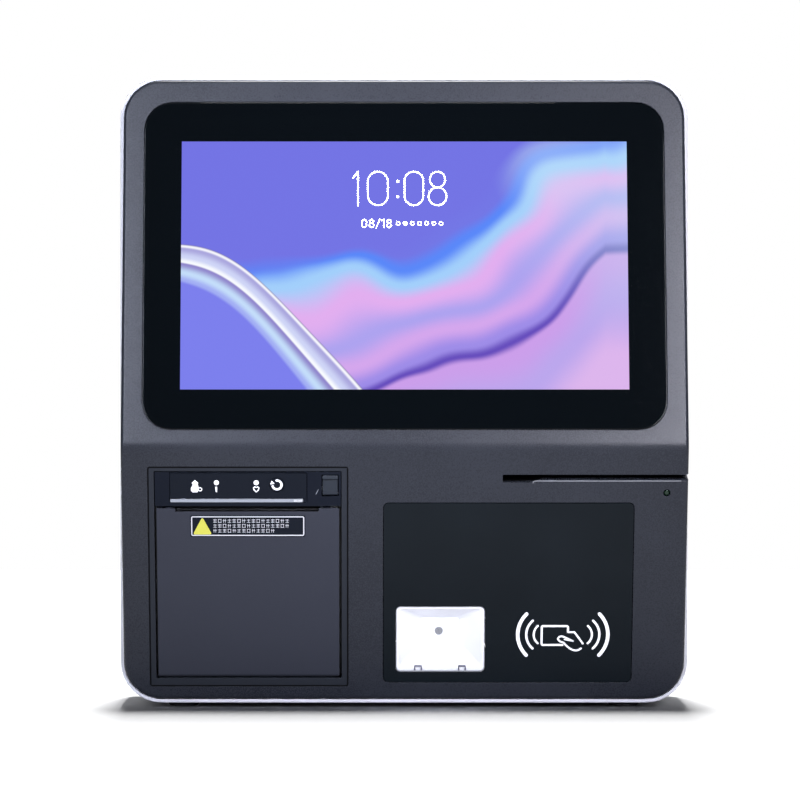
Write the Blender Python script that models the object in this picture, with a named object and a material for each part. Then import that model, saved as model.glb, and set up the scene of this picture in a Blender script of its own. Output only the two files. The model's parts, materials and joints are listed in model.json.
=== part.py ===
"""Self checkout kiosk: a counter terminal with a touch screen above a receipt printer, a scanner
window and a card slot.

A roof-shaped front cover closes a tub-shaped rear shell. The cover bends at a ridge: its upper panel
leans back and holds the screen, and its lower panel faces slightly down and holds the printer and the
readers. Two empties, upper_panel and lower_panel, sit on the ridge and tilt with those two panels, so a
piece on a panel is placed by its distance across (x), its depth behind the panel (y) and its distance
up from the ridge (z).

Every size below is in millimetres and every angle in radians; the helpers turn millimetres into metres.
The origin is at the middle of the base, +Z is up, and the front faces -Y.
"""

import math

import bmesh
import bpy
from mathutils import Vector

MM = 0.001

# Overall form.
WIDTH = 328.0
SHELL_HEIGHT = 362.0
FOOT_HEIGHT = 2.5
SHELL_RADIUS = 24.0
SHELL_WALL = 2.0
SHELL_BACK_WALL = 2.5
SHELL_BACK_EDGE = 8.0
GAP = 0.3

# The roof-shaped front: how far each line of it stands in front of the parting plane.
RIDGE_OUT = 33.0
TOP_OUT = 3.5
BOTTOM_OUT = 1.0
RIDGE_ABOVE_BASE = 148.0
RIDGE_RADIUS = 22.0
COVER_WALL = 2.3
COVER_SKIN = 4.2
COVER_EDGE = 2.0
COVER_NEST = 3.0

# The stepped back: how deep the lower and the upper part are behind the parting plane.
DEPTH_LOW = 74.0
DEPTH_TOP = 44.0
STEP_LOW = 190.0
STEP_TOP = 235.0

# Sheet metal, boards and cuts.
SHEET = 1.2
BOARD_THICK = 1.6
PAST = 2.0

# Screen, on the upper panel.
GLASS_HALF = 149.4
GLASS_LOW = 10.6
GLASS_TOP = 200.5
GLASS_RADIUS = 16.0
GLASS_THICK = 1.8
LEDGE = 8.2
LCD_X = (-133.0, 133.0)
LCD_Y = (2.4, 7.4)
LCD_Z = (29.0, 182.0)
BRACKET_X = (122.0, 149.0)
BRACKET_Z = (44.0, 168.0)
CHASSIS_X = (-128.0, 128.0)
CHASSIS_Y = 13.5
CHASSIS_Z = (26.0, 190.0)
CHASSIS_FLANGE = 6.0
MAIN_BOARD_X = (-66.0, 66.0)
MAIN_BOARD_Y = 19.0
MAIN_BOARD_Z = (58.0, 148.0)
HEAT_SINK_HALF = 24.0
HEAT_SINK_Y = (22.9, 25.6, 35.0)
HEAT_SINK_Z = (84.0, 124.0)
HEAT_SINK_FINS = 9
HEAT_SINK_FIN = 1.6

# Printer, on the lower panel.
BEZEL_X = (-146.1, -32.7)
BEZEL_Z = (-141.1, -11.7)
BEZEL_MOUTH_X = (-142.9, -36.0)
BEZEL_MOUTH_Z = (-136.7, -13.9)
BEZEL_DEPTH = 8.0
BEZEL_GROOVE = 0.5
DOOR_X = (-141.7, -37.3)
DOOR_TOP = -35.6
DOOR_BOTTOM = -136.25
DOOR_THICK = 2.4
SLOT_X = (-131.0, -48.9)
SLOT_DROP = 1.8
HINGE_R = 2.35
PIN_R = 1.0
PIN_REACH = 3.3
HEAD_Y = (0.4, 7.6)
HEAD_Z = (-34.5, -14.3)
OVERLAY_X = (-133.7, -55.9)
OVERLAY_Z = (-29.8, -15.1)
BAR_X = (-133.7, -57.9)
BAR_Z = (-32.0, -30.1)
FEED_KEY = (-72.75, -21.9)
FEED_KEY_R = 4.1
RELEASE_X = (-46.9, -38.0)
RELEASE_Z = (-28.2, -16.5)
RELEASE_GAP = 0.4
LATCH_PIVOT = (27.0, -33.0)
LATCH_X = (-48.3, -46.5)
LATCH_PIN_R = 1.5
BUCKET_X = (-143.3, -35.6)
BUCKET_Y = (8.4, 62.0)
BUCKET_Z = (-136.5, -13.6)
BUCKET_WALL = 2.0
PLATEN_Y = 11.0
PLATEN_Z = -41.5
PLATEN_R = 5.5
PLATEN_SHAFT_R = 2.0
ROLL_R = 23.0
ROLL_CORE_R = 9.0
ROLL_Y = 35.0
ROLL_Z = -110.2
ROLL_X = (-129.8, -50.3)
GEAR_MODULE = 0.75
PLATEN_TEETH = 16
DRIVE_TEETH = 12
GEAR_X = (-42.4, -38.6)
GEAR_SPREAD = 0.2
MOTOR_X = (-33.2, -16.5)
MOTOR_R = 12.5
MOTOR_SHAFT_R = 1.5
BLADE_X = (-130.4, -49.5)
PRINT_HEAD_Y = 16.9
PRINT_HEAD_Z = (-56.0, -31.0)
HEAD_SINK_X = (-128.0, -53.0)
HEAD_SINK_Y = (18.4, 21.0, 26.5)
HEAD_SINK_Z = (-54.0, -31.0)
HEAD_SINK_FINS = 4
PRINTER_BOARD_X = (-132.0, -52.0)
PRINTER_BOARD_Y = 64.6
PRINTER_BOARD_Z = (-112.0, -40.0)

# Readers, on the lower panel.
WINDOW_X = (-11.9, 130.9)
WINDOW_Z = (-139.0, -32.6)
WINDOW_RADIUS = 2.7
WINDOW_THICK = 2.1
WINDOW_LEDGE = 3.0
SCAN_X = (-5.1, 46.7)
SCAN_Z = (-133.2, -93.8)
SCAN_RADIUS = 2.9
SCAN_DEPTH = 16.5
LENS = (20.3, -113.1)
CARD_SLOT_X = 55.9
CARD_SLOT_TOP = -16.0
CARD_SLOT_LOW = -18.7
CARD_MOUTH_LOW = -20.4
CARD_MOUTH_X = (74.2, 78.8)
CARD_SLOT_DEPTH = 19.3
CARD_LIP = 0.8
CARD_HEAD_X = (111.6, 124.4)
CARD_HEAD_Y = (8.6, 15.4)
LED_X = 149.5
LED_Z = -26.6
LED_HOLE_R = 2.0
ANTENNA_X = (54.0, 124.0)
ANTENNA_Y = 2.5
ANTENNA_Z = (-134.0, -72.0)

# Back of the case.
PORT_Z = 29.0
IO_MOUTH_X = (-74.0, 62.0)
IO_MOUTH_Z = (15.0, 43.0)
POWER_BUTTON_X = 105.0
POWER_BUTTON_R = 6.9
PORT_DEPTH = 11.5
LAN_X = (-62.0, -45.6)
LAN_Z = (21.0, 35.0)
USB_X = (-32.0, -17.2)
USB_Z = (25.2, 32.8)
USB_STEP = 26.0
INLET_X = 44.0
INLET_R = 5.4
POWER_BOARD_X = (64.0, 142.0)
POWER_BOARD_Y = 30.0
POWER_BOARD_Z = (52.0, 128.0)
SPEAKER_Z = (62.0, 106.0)
SPEAKER_Y = (4.0, 40.0)
SPEAKER_X = 149.0
SPEAKER_CONE_R = 13.0
VENT = (6.0, 12.0, 22.0)
VENT_ROWS = (322.0, 290.0)
VENT_COUNT = 9
VENT_STEP = 22.0
GRILLE = (12.0, 3.0, 34.0)
GRILLE_COUNT = 5
GRILLE_STEP = 6.0
VESA_Z = 112.0
VESA_HALF = 37.5
VESA_PLATE_HALF = 50.0
FOOT_R = 9.0
FOOT_X = 128.0
FOOT_Y = (-6.0, 38.0)
BOSS_LOW = (151.6, 46.0)
BOSS_TOP = (145.5, 345.0)
BOSS_R = 3.7
BOSS_BORE_R = 1.6
SCREW_HOLE_R = 1.9
SCREW_SEAT_R = 3.3
SCREW_SEAT_DEPTH = 1.6

HALF_WIDTH = WIDTH / 2
BASE_Z = FOOT_HEIGHT
TOP_Z = FOOT_HEIGHT + SHELL_HEIGHT
RIDGE_Z = BASE_Z + RIDGE_ABOVE_BASE
COVER_INSET = SHELL_WALL + GAP
COVER_LOW = BASE_Z + COVER_INSET
COVER_HIGH = TOP_Z - COVER_INSET
UPPER_TILT = math.atan2(RIDGE_OUT - TOP_OUT, COVER_HIGH - RIDGE_Z)
LOWER_TILT = math.atan2(RIDGE_OUT - BOTTOM_OUT, RIDGE_Z - COVER_LOW)
RIDGE_BLEND = RIDGE_RADIUS * math.tan((UPPER_TILT + LOWER_TILT) / 2)
RIDGE_SAG = RIDGE_BLEND * (math.sin(UPPER_TILT) + math.sin(LOWER_TILT)) / 4
RIM_Y = -(DEPTH_LOW - RIDGE_OUT + RIDGE_SAG) / 2
BACK_Y = RIM_Y + DEPTH_LOW
BACK_TOP_Y = RIM_Y + DEPTH_TOP
INNER_BACK_Y = BACK_Y - SHELL_BACK_WALL
DOOR_AXIS_Y = HINGE_R + 0.1
DOOR_AXIS_Z = DOOR_BOTTOM + HINGE_R
DOOR_FRONT_Y = DOOR_AXIS_Y - HINGE_R
DOOR_INNER_Y = DOOR_FRONT_Y + DOOR_THICK
GEAR_DISTANCE = GEAR_MODULE * (PLATEN_TEETH + DRIVE_TEETH) / 2 + GEAR_SPREAD

FINISHES = {
    "dark_case": ((0.085, 0.09, 0.1), 0.55, 0.0),
    "silver_case": ((0.72, 0.73, 0.75), 0.4, 0.3),
    "black_gloss": ((0.01, 0.012, 0.014), 0.08, 0.0),
    "screen": ((0.3, 0.3, 0.75), 0.3, 0.0),
    "printer_grey": ((0.05, 0.052, 0.065), 0.5, 0.0),
    "overlay": ((0.02, 0.024, 0.032), 0.4, 0.0),
    "black_plastic": ((0.02, 0.02, 0.022), 0.5, 0.0),
    "white_plastic": ((0.85, 0.85, 0.87), 0.45, 0.0),
    "clear": ((0.9, 0.92, 0.95), 0.05, 0.0),
    "steel": ((0.6, 0.61, 0.63), 0.3, 1.0),
    "aluminium": ((0.75, 0.76, 0.78), 0.4, 1.0),
    "rubber": ((0.03, 0.03, 0.032), 0.85, 0.0),
    "gear_white": ((0.8, 0.79, 0.74), 0.5, 0.0),
    "board_green": ((0.03, 0.16, 0.07), 0.5, 0.0),
    "paper": ((0.88, 0.88, 0.86), 0.9, 0.0),
    "card": ((0.45, 0.36, 0.25), 0.9, 0.0),
    "led_green": ((0.1, 0.3, 0.16), 0.25, 0.0),
    "brass": ((0.7, 0.55, 0.25), 0.35, 1.0),
}


def clear_scene():
    for old in list(bpy.data.objects):
        bpy.data.objects.remove(old, do_unlink=True)


def finish(name):
    """The material of one finish, made once."""
    found = bpy.data.materials.get(name)
    if found:
        return found
    colour, roughness, metallic = FINISHES[name]
    made = bpy.data.materials.new(name)
    made.use_nodes = True
    shader = made.node_tree.nodes["Principled BSDF"]
    shader.inputs["Base Color"].default_value = (*colour, 1.0)
    shader.inputs["Roughness"].default_value = roughness
    shader.inputs["Metallic"].default_value = metallic
    return made


def add_frame(name, tilt):
    """An empty on the ridge line, tilted about X like one of the two front panels."""
    empty = bpy.data.objects.new(name, None)
    empty.location = Vector((0, RIM_Y - RIDGE_OUT, RIDGE_Z)) * MM
    empty.rotation_euler = (tilt, 0, 0)
    bpy.context.collection.objects.link(empty)
    return empty


def add_object(name, points, faces, colour, at=(0, 0, 0), parent=None, smooth=0.0):
    """A closed mesh of points about the place at, all in millimetres."""
    mesh = bpy.data.meshes.new(name)
    mesh.from_pydata([Vector(point) * MM for point in points], [], faces)
    shape = bmesh.new()
    shape.from_mesh(mesh)
    bmesh.ops.recalc_face_normals(shape, faces=shape.faces)
    shape.to_mesh(mesh)
    shape.free()
    if smooth:
        mesh.shade_smooth()
        mesh.set_sharp_from_angle(angle=smooth)
    mesh.materials.append(finish(colour))
    made = bpy.data.objects.new(name, mesh)
    made.location = Vector(at) * MM
    made.parent = parent
    bpy.context.collection.objects.link(made)
    return made


def along(axis, a, b, c):
    """A point at c along an axis, with a and b across it in X, Y, Z order."""
    return {"X": (c, a, b), "Y": (a, c, b), "Z": (a, b, c)}[axis]


def middle(span):
    return (span[0] + span[1]) / 2


def widened(span, by):
    """A span with both its ends moved outward, or inward when by is negative."""
    return (span[0] - by, span[1] + by)


def prism(name, colour, outline, span, axis, parent=None, at=None, smooth=0.0):
    """An outline of points across an axis, extruded along it over a span."""
    count = len(outline)
    centre = at or (0, 0, 0)
    points = [Vector(along(axis, a, b, c)) - Vector(centre) for c in span for a, b in outline]
    sides = [(i, (i + 1) % count, count + (i + 1) % count, count + i) for i in range(count)]
    caps = [tuple(range(count)), tuple(range(2 * count - 1, count - 1, -1))]
    return add_object(name, points, sides + caps, colour, centre, parent, smooth)


def block(name, colour, x, y, z, parent=None):
    """A box over three spans, with its origin at its middle."""
    outline = [(x[0], y[0]), (x[1], y[0]), (x[1], y[1]), (x[0], y[1])]
    return prism(name, colour, outline, z, "Z", parent, (middle(x), middle(y), middle(z)))


def rounded(x, z, radius, steps=4):
    """The outline of a rectangle with round corners, anticlockwise."""
    corners = (
        (x[1] - radius, z[1] - radius, 0.0),
        (x[0] + radius, z[1] - radius, 0.5),
        (x[0] + radius, z[0] + radius, 1.0),
        (x[1] - radius, z[0] + radius, 1.5),
    )
    outline = []
    for across, up, start in corners:
        for step in range(steps + 1):
            angle = math.pi * (start + 0.5 * step / steps)
            outline.append((across + radius * math.cos(angle), up + radius * math.sin(angle)))
    return outline


def hollow_prism(name, colour, outer, inner, span, axis, parent=None, smooth=0.0):
    """A ring between two outlines with as many points each, extruded over a span."""
    count = len(outer)
    loops = [(outer, span[0]), (outer, span[1]), (inner, span[1]), (inner, span[0])]
    points = [along(axis, a, b, c) for outline, c in loops for a, b in outline]
    faces = []
    for loop in range(4):
        here = loop * count
        there = (loop + 1) % 4 * count
        for i in range(count):
            j = (i + 1) % count
            faces.append((here + i, here + j, there + j, there + i))
    return add_object(name, points, faces, colour, (0, 0, 0), parent, smooth)


def turned(name, colour, profile, at, axis, sides=16, parent=None, closed=False):
    """A profile of (radius, distance along) turned about an axis through at; closed joins its ends."""
    turn = 2 * math.pi / sides
    points = []
    rows = []
    for radius, distance in profile:
        first = len(points)
        steps = 1 if radius == 0 else sides
        rows.append([first + i % steps for i in range(sides)])
        for i in range(steps):
            points.append(along(axis, radius * math.cos(turn * i), radius * math.sin(turn * i), distance))
    pairs = list(zip(rows, rows[1:] + rows[:1])) if closed else list(zip(rows, rows[1:]))
    faces = []
    for low, high in pairs:
        for i in range(sides):
            j = (i + 1) % sides
            corners = list(dict.fromkeys((low[i], low[j], high[j], high[i])))
            if len(corners) > 2:
                faces.append(tuple(corners))
    return add_object(name, points, faces, colour, at, parent, math.radians(40))


def cylinder(name, colour, radius, span, across, axis, sides=16, parent=None):
    """A plain round bar over a span of its axis; across is the place of that axis."""
    at = along(axis, *across, 0)
    profile = [(0, span[0]), (radius, span[0]), (radius, span[1]), (0, span[1])]
    return turned(name, colour, profile, at, axis, sides, parent)


def apply_tool(target, tool, operation):
    """Cuts a helper out of a piece, or joins it on, and keeps the helper out of the model."""
    tool.hide_render = True
    tool.display_type = "WIRE"
    change = target.modifiers.new(tool.name, "BOOLEAN")
    change.operation = operation
    change.object = tool
    change.solver = "EXACT"


def cut(target, *tools):
    for tool in tools:
        apply_tool(target, tool, "DIFFERENCE")


def join(target, *tools):
    for tool in tools:
        apply_tool(target, tool, "UNION")


def bent_line(corners, blend):
    """Points (height, depth) along straight runs whose bends are rounded over a blend length."""
    line = [corners[0]]
    for before, bend, after in zip(corners, corners[1:], corners[2:]):
        here = Vector(bend)
        start = here + (Vector(before) - here).normalized() * blend
        end = here + (Vector(after) - here).normalized() * blend
        for step in range(5):
            t = step / 4
            line.append(tuple(start * (1 - t) ** 2 + here * 2 * t * (1 - t) + end * t * t))
    line.append(corners[-1])
    return line


def depth_at(line, height):
    """The depth of a bent line at one height."""
    for (low, depth), (high, next_depth) in zip(line, line[1:]):
        if height <= high:
            return depth + (next_depth - depth) * (height - low) / (high - low)
    return line[-1][1]


def case_ring(line, inset, depth, on_line, margin=0.0):
    """One side of the case's outline from bottom to top, set in by a distance.

    Its depth follows the bent line, moved by depth, or is the flat depth itself.
    """
    half = HALF_WIDTH - margin - inset
    low = BASE_Z + margin + inset
    high = TOP_Z - margin - inset
    radius = SHELL_RADIUS - margin - inset
    steps = 8
    side = []
    for step in range(steps + 1):
        angle = math.pi / 2 * step / steps
        side.append((half - radius + radius * math.sin(angle), low + radius - radius * math.cos(angle)))
    side += [(half, height) for height, _ in line[1:-1]]
    for step in range(steps + 1):
        angle = math.pi / 2 * step / steps
        side.append((half - radius + radius * math.cos(angle), high - radius + radius * math.sin(angle)))
    return [(x, depth_at(line, z) + depth if on_line else depth, z) for x, z in side]


def case_loft(name, colour, rings):
    """A symmetrical shell through rings that each give its right-hand side, closed at both ends."""
    count = len(rings[0])
    points = []
    for ring in rings:
        points += ring + [(-x, y, z) for x, y, z in reversed(ring)]
    around = 2 * count
    faces = []
    for row in range(len(rings) - 1):
        here = row * around
        for i in range(around):
            j = (i + 1) % around
            faces.append((here + i, here + j, here + around + j, here + around + i))
    for here in (0, (len(rings) - 1) * around):
        for i in range(count - 1):
            faces.append((here + i, here + i + 1, here + around - 2 - i, here + around - 1 - i))
    return add_object(name, points, faces, colour, smooth=math.radians(30))


def round_edge(radius, steps):
    """Pairs (inset, set back) down a quarter-round edge, from the face to the side."""
    turns = [math.pi / 2 * step / steps for step in range(steps + 1)]
    return [(radius * (1 - math.sin(turn)), radius * (1 - math.cos(turn))) for turn in turns]


def front_line():
    """The front's profile: bottom edge, ridge, top edge."""
    corners = [(COVER_LOW, RIM_Y - BOTTOM_OUT), (RIDGE_Z, RIM_Y - RIDGE_OUT), (COVER_HIGH, RIM_Y - TOP_OUT)]
    return bent_line(corners, RIDGE_BLEND)


def back_line():
    """The back's profile: deep below, shallow above, with a slope between."""
    corners = [(0, BACK_Y), (STEP_LOW, BACK_Y), (STEP_TOP, BACK_TOP_Y), (TOP_Z + 1, BACK_TOP_Y)]
    return bent_line(corners, 9.0)


def card_slot_outline():
    """The swipe slot across the panel: a tall mouth, a slanted lip, then a narrow gap out to the side."""
    return [
        (CARD_SLOT_X, CARD_MOUTH_LOW),
        (CARD_MOUTH_X[0], CARD_MOUTH_LOW),
        (CARD_MOUTH_X[1], CARD_SLOT_LOW),
        (HALF_WIDTH + PAST, CARD_SLOT_LOW),
        (HALF_WIDTH + PAST, CARD_SLOT_TOP),
        (CARD_SLOT_X, CARD_SLOT_TOP),
    ]


def card_lip_cut(lower):
    """The helper that slants the slot's lower lip, so that a card runs in easily."""
    low = CARD_SLOT_LOW - CARD_LIP - PAST
    outline = [(-PAST, low), (CARD_LIP + GAP, CARD_SLOT_LOW + GAP), (-PAST, CARD_SLOT_LOW + GAP)]
    return prism("card_lip_cut", "clear", outline, (CARD_MOUTH_X[1], HALF_WIDTH + PAST), "X", lower)


def make_front_cover(upper, lower):
    line = front_line()
    rings = [case_ring(line, inset, back, True, COVER_INSET) for inset, back in round_edge(COVER_EDGE, 3)]
    rings.append(case_ring(line, 0, RIM_Y + COVER_NEST, False, COVER_INSET))
    rings.append(case_ring(line, COVER_WALL, RIM_Y + COVER_NEST, False, COVER_INSET))
    rings.append(case_ring(line, COVER_WALL, COVER_SKIN, True, COVER_INSET))
    cover = case_loft("front_cover", "dark_case", rings)
    for index, (x, z, start) in enumerate(boss_places()):
        wall = BACK_Y if z < STEP_LOW else BACK_TOP_Y
        span = (start, wall - SHELL_BACK_WALL - GAP)
        join(cover, cylinder(f"boss_{index}", "dark_case", BOSS_R, span, (x, z), "Y", 12))
    cut(cover, *panel_openings(upper, lower))
    for index, (x, z, start) in enumerate(boss_places()):
        bore = (start + 14, BACK_Y + PAST)
        cut(cover, cylinder(f"boss_bore_{index}", "clear", BOSS_BORE_R, bore, (x, z), "Y", 10))


def panel_openings(upper, lower):
    """The helpers that cut the recesses and holes of both panels out of the front cover."""
    glass_x = (-GLASS_HALF, GLASS_HALF)
    glass_z = (GLASS_LOW, GLASS_TOP)
    recess = rounded(widened(glass_x, GAP), widened(glass_z, GAP), GLASS_RADIUS + GAP, 6)
    through = rounded(widened(glass_x, -LEDGE), widened(glass_z, -LEDGE), GLASS_RADIUS - LEDGE)
    window = rounded(widened(WINDOW_X, GAP), widened(WINDOW_Z, GAP), WINDOW_RADIUS + GAP)
    inner = rounded(widened(WINDOW_X, -WINDOW_LEDGE), widened(WINDOW_Z, -WINDOW_LEDGE), 1.0, 1)
    bezel = rounded(widened(BEZEL_X, BEZEL_GROOVE), widened(BEZEL_Z, BEZEL_GROOVE), 1.5, 2)
    behind = COVER_SKIN + 2 * PAST
    led = (LED_X, LED_Z)
    return [
        prism("glass_recess", "clear", recess, (-PAST, GLASS_THICK + GAP), "Y", upper),
        prism("glass_hole", "clear", through, (1, behind), "Y", upper),
        prism("window_recess", "clear", window, (-PAST, WINDOW_THICK + GAP), "Y", lower),
        prism("window_hole", "clear", inner, (1, behind), "Y", lower),
        prism("bezel_hole", "clear", bezel, (-PAST, behind), "Y", lower),
        prism("card_slot_cut", "clear", card_slot_outline(), (-PAST, CARD_SLOT_DEPTH), "Y", lower),
        card_lip_cut(lower),
        cylinder("led_hole", "clear", LED_HOLE_R, (-PAST, behind), led, "Y", 16, lower),
    ]


def boss_places():
    """Across, height and front end of the four screw bosses."""
    low_y = depth_at(front_line(), BOSS_LOW[1]) + COVER_SKIN - 1
    top_y = depth_at(front_line(), BOSS_TOP[1]) + COVER_SKIN - 1
    return [(side * x, z, y) for (x, z), y in ((BOSS_LOW, low_y), (BOSS_TOP, top_y)) for side in (-1, 1)]


def row_of_slots(name, size, first, count, step, axis):
    """One helper made of a row of equal boxes, stepped along an axis from the first one's middle."""
    points = []
    faces = []
    quads = ((0, 1, 3, 2), (4, 6, 7, 5), (0, 4, 5, 1), (2, 3, 7, 6), (0, 2, 6, 4), (1, 5, 7, 3))
    for index in range(count):
        centre = Vector(first) + Vector(along(axis, 0, 0, index * step))
        start = len(points)
        for dx in (-0.5, 0.5):
            for dy in (-0.5, 0.5):
                for dz in (-0.5, 0.5):
                    points.append(centre + Vector((size[0] * dx, size[1] * dy, size[2] * dz)))
        faces += [tuple(start + i for i in quad) for quad in quads]
    return add_object(name, points, faces, "clear")


def make_rear_shell():
    line = back_line()
    inner_edge = 6.0
    lip = 0.4
    rings = [
        case_ring(line, SHELL_WALL + inner_edge, -SHELL_BACK_WALL, True),
        case_ring(line, SHELL_WALL, -SHELL_BACK_WALL - inner_edge, True),
        case_ring(line, SHELL_WALL, RIM_Y, False),
        case_ring(line, lip, RIM_Y, False),
        case_ring(line, 0, RIM_Y + lip, False),
    ]
    rings += [case_ring(line, inset, -back, True) for inset, back in reversed(round_edge(SHELL_BACK_EDGE, 4))]
    shell = case_loft("rear_shell", "silver_case", rings)
    wall = (INNER_BACK_Y - PAST, BACK_Y + PAST)
    power = (POWER_BUTTON_X, PORT_Z)
    cut(
        shell,
        block("io_mouth", "clear", IO_MOUTH_X, wall, IO_MOUTH_Z),
        cylinder("button_hole", "clear", POWER_BUTTON_R + 0.4, wall, power, "Y", 20),
        *[cylinder(f"vesa_{i}", "clear", 2.6, wall, at, "Y", 10) for i, at in enumerate(vesa_places())],
    )
    for index, height in enumerate(VENT_ROWS):
        first = (-VENT_STEP * (VENT_COUNT - 1) / 2, BACK_TOP_Y, height)
        cut(shell, row_of_slots(f"vents_{index}", VENT, first, VENT_COUNT, VENT_STEP, "X"))
    for side in (-1, 1):
        first = (side * HALF_WIDTH, middle(SPEAKER_Y) - GRILLE_STEP * (GRILLE_COUNT - 1) / 2, middle(SPEAKER_Z))
        cut(shell, row_of_slots(f"grille_{side}", GRILLE, first, GRILLE_COUNT, GRILLE_STEP, "Y"))
    for index, (x, z, _) in enumerate(boss_places()):
        hole = (screw_seat(z) - 3 * PAST, BACK_Y + PAST)
        seat = (screw_seat(z), BACK_Y + PAST)
        cut(
            shell,
            cylinder(f"screw_hole_{index}", "clear", SCREW_HOLE_R, hole, (x, z), "Y", 10),
            cylinder(f"screw_seat_{index}", "clear", SCREW_SEAT_R, seat, (x, z), "Y", 12),
        )


def vesa_places():
    """Across and height of the four holes for a stand or a wall plate."""
    return [(side * VESA_HALF, VESA_Z + up * VESA_HALF) for side in (-1, 1) for up in (-1, 1)]


def screw_seat(z):
    """The depth of the seat under the head of a case screw at height z."""
    return (BACK_Y if z < STEP_LOW else BACK_TOP_Y) - SCREW_SEAT_DEPTH


def make_case_screws():
    for index, (x, z, _) in enumerate(boss_places()):
        seat = screw_seat(z) + GAP
        profile = [(0, -11), (1.3, -10.4), (1.3, 0), (2.9, 0), (2.9, 0.9), (2.2, 1.3), (0, 1.3)]
        turned(f"case_screw_{index + 1}", "steel", profile, (x, seat, z), "Y", 12)


def make_feet():
    profile = [(0, 0), (FOOT_R - 1, 0), (FOOT_R, 0.8), (FOOT_R - 0.6, BASE_Z - GAP), (0, BASE_Z - GAP)]
    places = [(side * FOOT_X, y) for y in FOOT_Y for side in (-1, 1)]
    for index, (x, y) in enumerate(places):
        turned(f"foot_{index + 1}", "rubber", profile, (x, y, 0), "Z", 20)


def make_screen(upper):
    glass_z = (GLASS_LOW, GLASS_TOP)
    outline = rounded((-GLASS_HALF, GLASS_HALF), glass_z, GLASS_RADIUS, 6)
    prism("touch_glass", "black_gloss", outline, (0, GLASS_THICK), "Y", upper, (0, 0, middle(glass_z)))
    block("lcd_panel", "screen", LCD_X, LCD_Y, LCD_Z, upper)
    make_lcd_brackets(upper)
    make_chassis_plate(upper)


def make_lcd_brackets(upper):
    """Steel strips bent like a Z: a foot behind the cover's skin and an arm behind the display."""
    tip, end = BRACKET_X
    bend = LCD_X[1] + 2.4
    foot = COVER_SKIN + 0.4
    arm = LCD_Y[1] + 0.4
    strip = [(end, foot), (end, foot + SHEET), (bend + SHEET, foot + SHEET), (bend + SHEET, arm + SHEET)]
    strip += [(tip, arm + SHEET), (tip, arm), (bend, arm), (bend, foot)]
    for side, name in ((-1, "lcd_bracket_left"), (1, "lcd_bracket_right")):
        prism(name, "steel", [(side * x, y) for x, y in strip], BRACKET_Z, "Z", upper)


def make_chassis_plate(upper):
    """A steel plate across the case, with its long edges folded back."""
    front = CHASSIS_Y
    back = CHASSIS_Y + CHASSIS_FLANGE
    low, high = CHASSIS_Z
    folded = [(front, low), (back, low), (back, low + SHEET), (front + SHEET, low + SHEET)]
    folded += [(front + SHEET, high - SHEET), (back, high - SHEET), (back, high), (front, high)]
    prism("chassis_plate", "steel", folded, CHASSIS_X, "X", upper)


def populated_board(name, x, front, z, parts, towards, parent=None):
    """A board with blocks for its components, each (x, z, how far it stands off the board).

    They stand behind the board where towards is 1, and in front of it where towards is -1.
    """
    board = block(name, "board_green", x, (front, front + BOARD_THICK), z, parent)
    face = front + BOARD_THICK if towards > 0 else front
    for index, (part_x, part_z, rise) in enumerate(parts):
        depth = sorted((face - 0.2 * towards, face + rise * towards))
        join(board, block(f"{name}_part_{index}", "black_plastic", part_x, depth, part_z, parent))


def make_boards(upper):
    processor = ((-20, 20), (86, 122), 2.0)
    coils = ((-58, -40), (62, 76), 6.4)
    display_plug = ((-34, -12), (61, 74), 5.4)
    memory = ((30, 58), (66, 90), 3.4)
    socket_block = ((34, 46), (112, 140), 10.4)
    radio = ((-56, -38), (100, 138), 2.4)
    parts = [processor, coils, display_plug, memory, socket_block, radio]
    populated_board("main_board", MAIN_BOARD_X, MAIN_BOARD_Y, MAIN_BOARD_Z, parts, 1, upper)
    prism("heat_sink", "aluminium", heat_sink_outline(), HEAT_SINK_Z, "Z", upper)


def heat_sink_outline():
    """A base on the processor with fins behind it, across the board."""
    front, root, tip = HEAT_SINK_Y
    outline = [(-HEAT_SINK_HALF, front), (HEAT_SINK_HALF, front)]
    pitch = (2 * HEAT_SINK_HALF - HEAT_SINK_FIN) / (HEAT_SINK_FINS - 1)
    for fin in reversed(range(HEAT_SINK_FINS)):
        left = fin * pitch - HEAT_SINK_HALF
        outline += [(left + HEAT_SINK_FIN, tip), (left, tip)]
        if fin:
            outline += [(left, root), (left - pitch + HEAT_SINK_FIN, root)]
    return outline


def make_printer_frame(lower):
    outer = rounded(BEZEL_X, BEZEL_Z, 1.2, 2)
    mouth = rounded(BEZEL_MOUTH_X, BEZEL_MOUTH_Z, 0.6, 2)
    bezel = hollow_prism("printer_bezel", "printer_grey", outer, mouth, (0.1, BEZEL_DEPTH), "Y", lower)
    pin_x = widened(DOOR_X, PIN_REACH)
    axis = (DOOR_AXIS_Y, DOOR_AXIS_Z)
    cut(bezel, cylinder("bezel_bore", "clear", PIN_R + GAP, widened(pin_x, GAP), axis, "X", 12, lower))
    cylinder("door_hinge_pin", "steel", PIN_R, pin_x, axis, "X", 12, lower)
    make_printer_bucket(lower)


def make_printer_bucket(lower):
    """The open box behind the printer's face, with the hole that the drive motor's shaft comes through."""
    bucket = block("printer_bucket", "black_plastic", BUCKET_X, BUCKET_Y, BUCKET_Z, lower)
    inside_x = widened(BUCKET_X, -BUCKET_WALL)
    inside_z = widened(BUCKET_Z, -BUCKET_WALL)
    wall_x = (inside_x[1] - PAST, BUCKET_X[1] + PAST)
    drive = (PLATEN_Y + GEAR_DISTANCE, PLATEN_Z)
    cut(
        bucket,
        block("bucket_inside", "clear", inside_x, (0, BUCKET_Y[1] - BUCKET_WALL), inside_z, lower),
        cylinder("motor_bore", "clear", 3.4, wall_x, drive, "X", 16, lower),
    )


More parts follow.
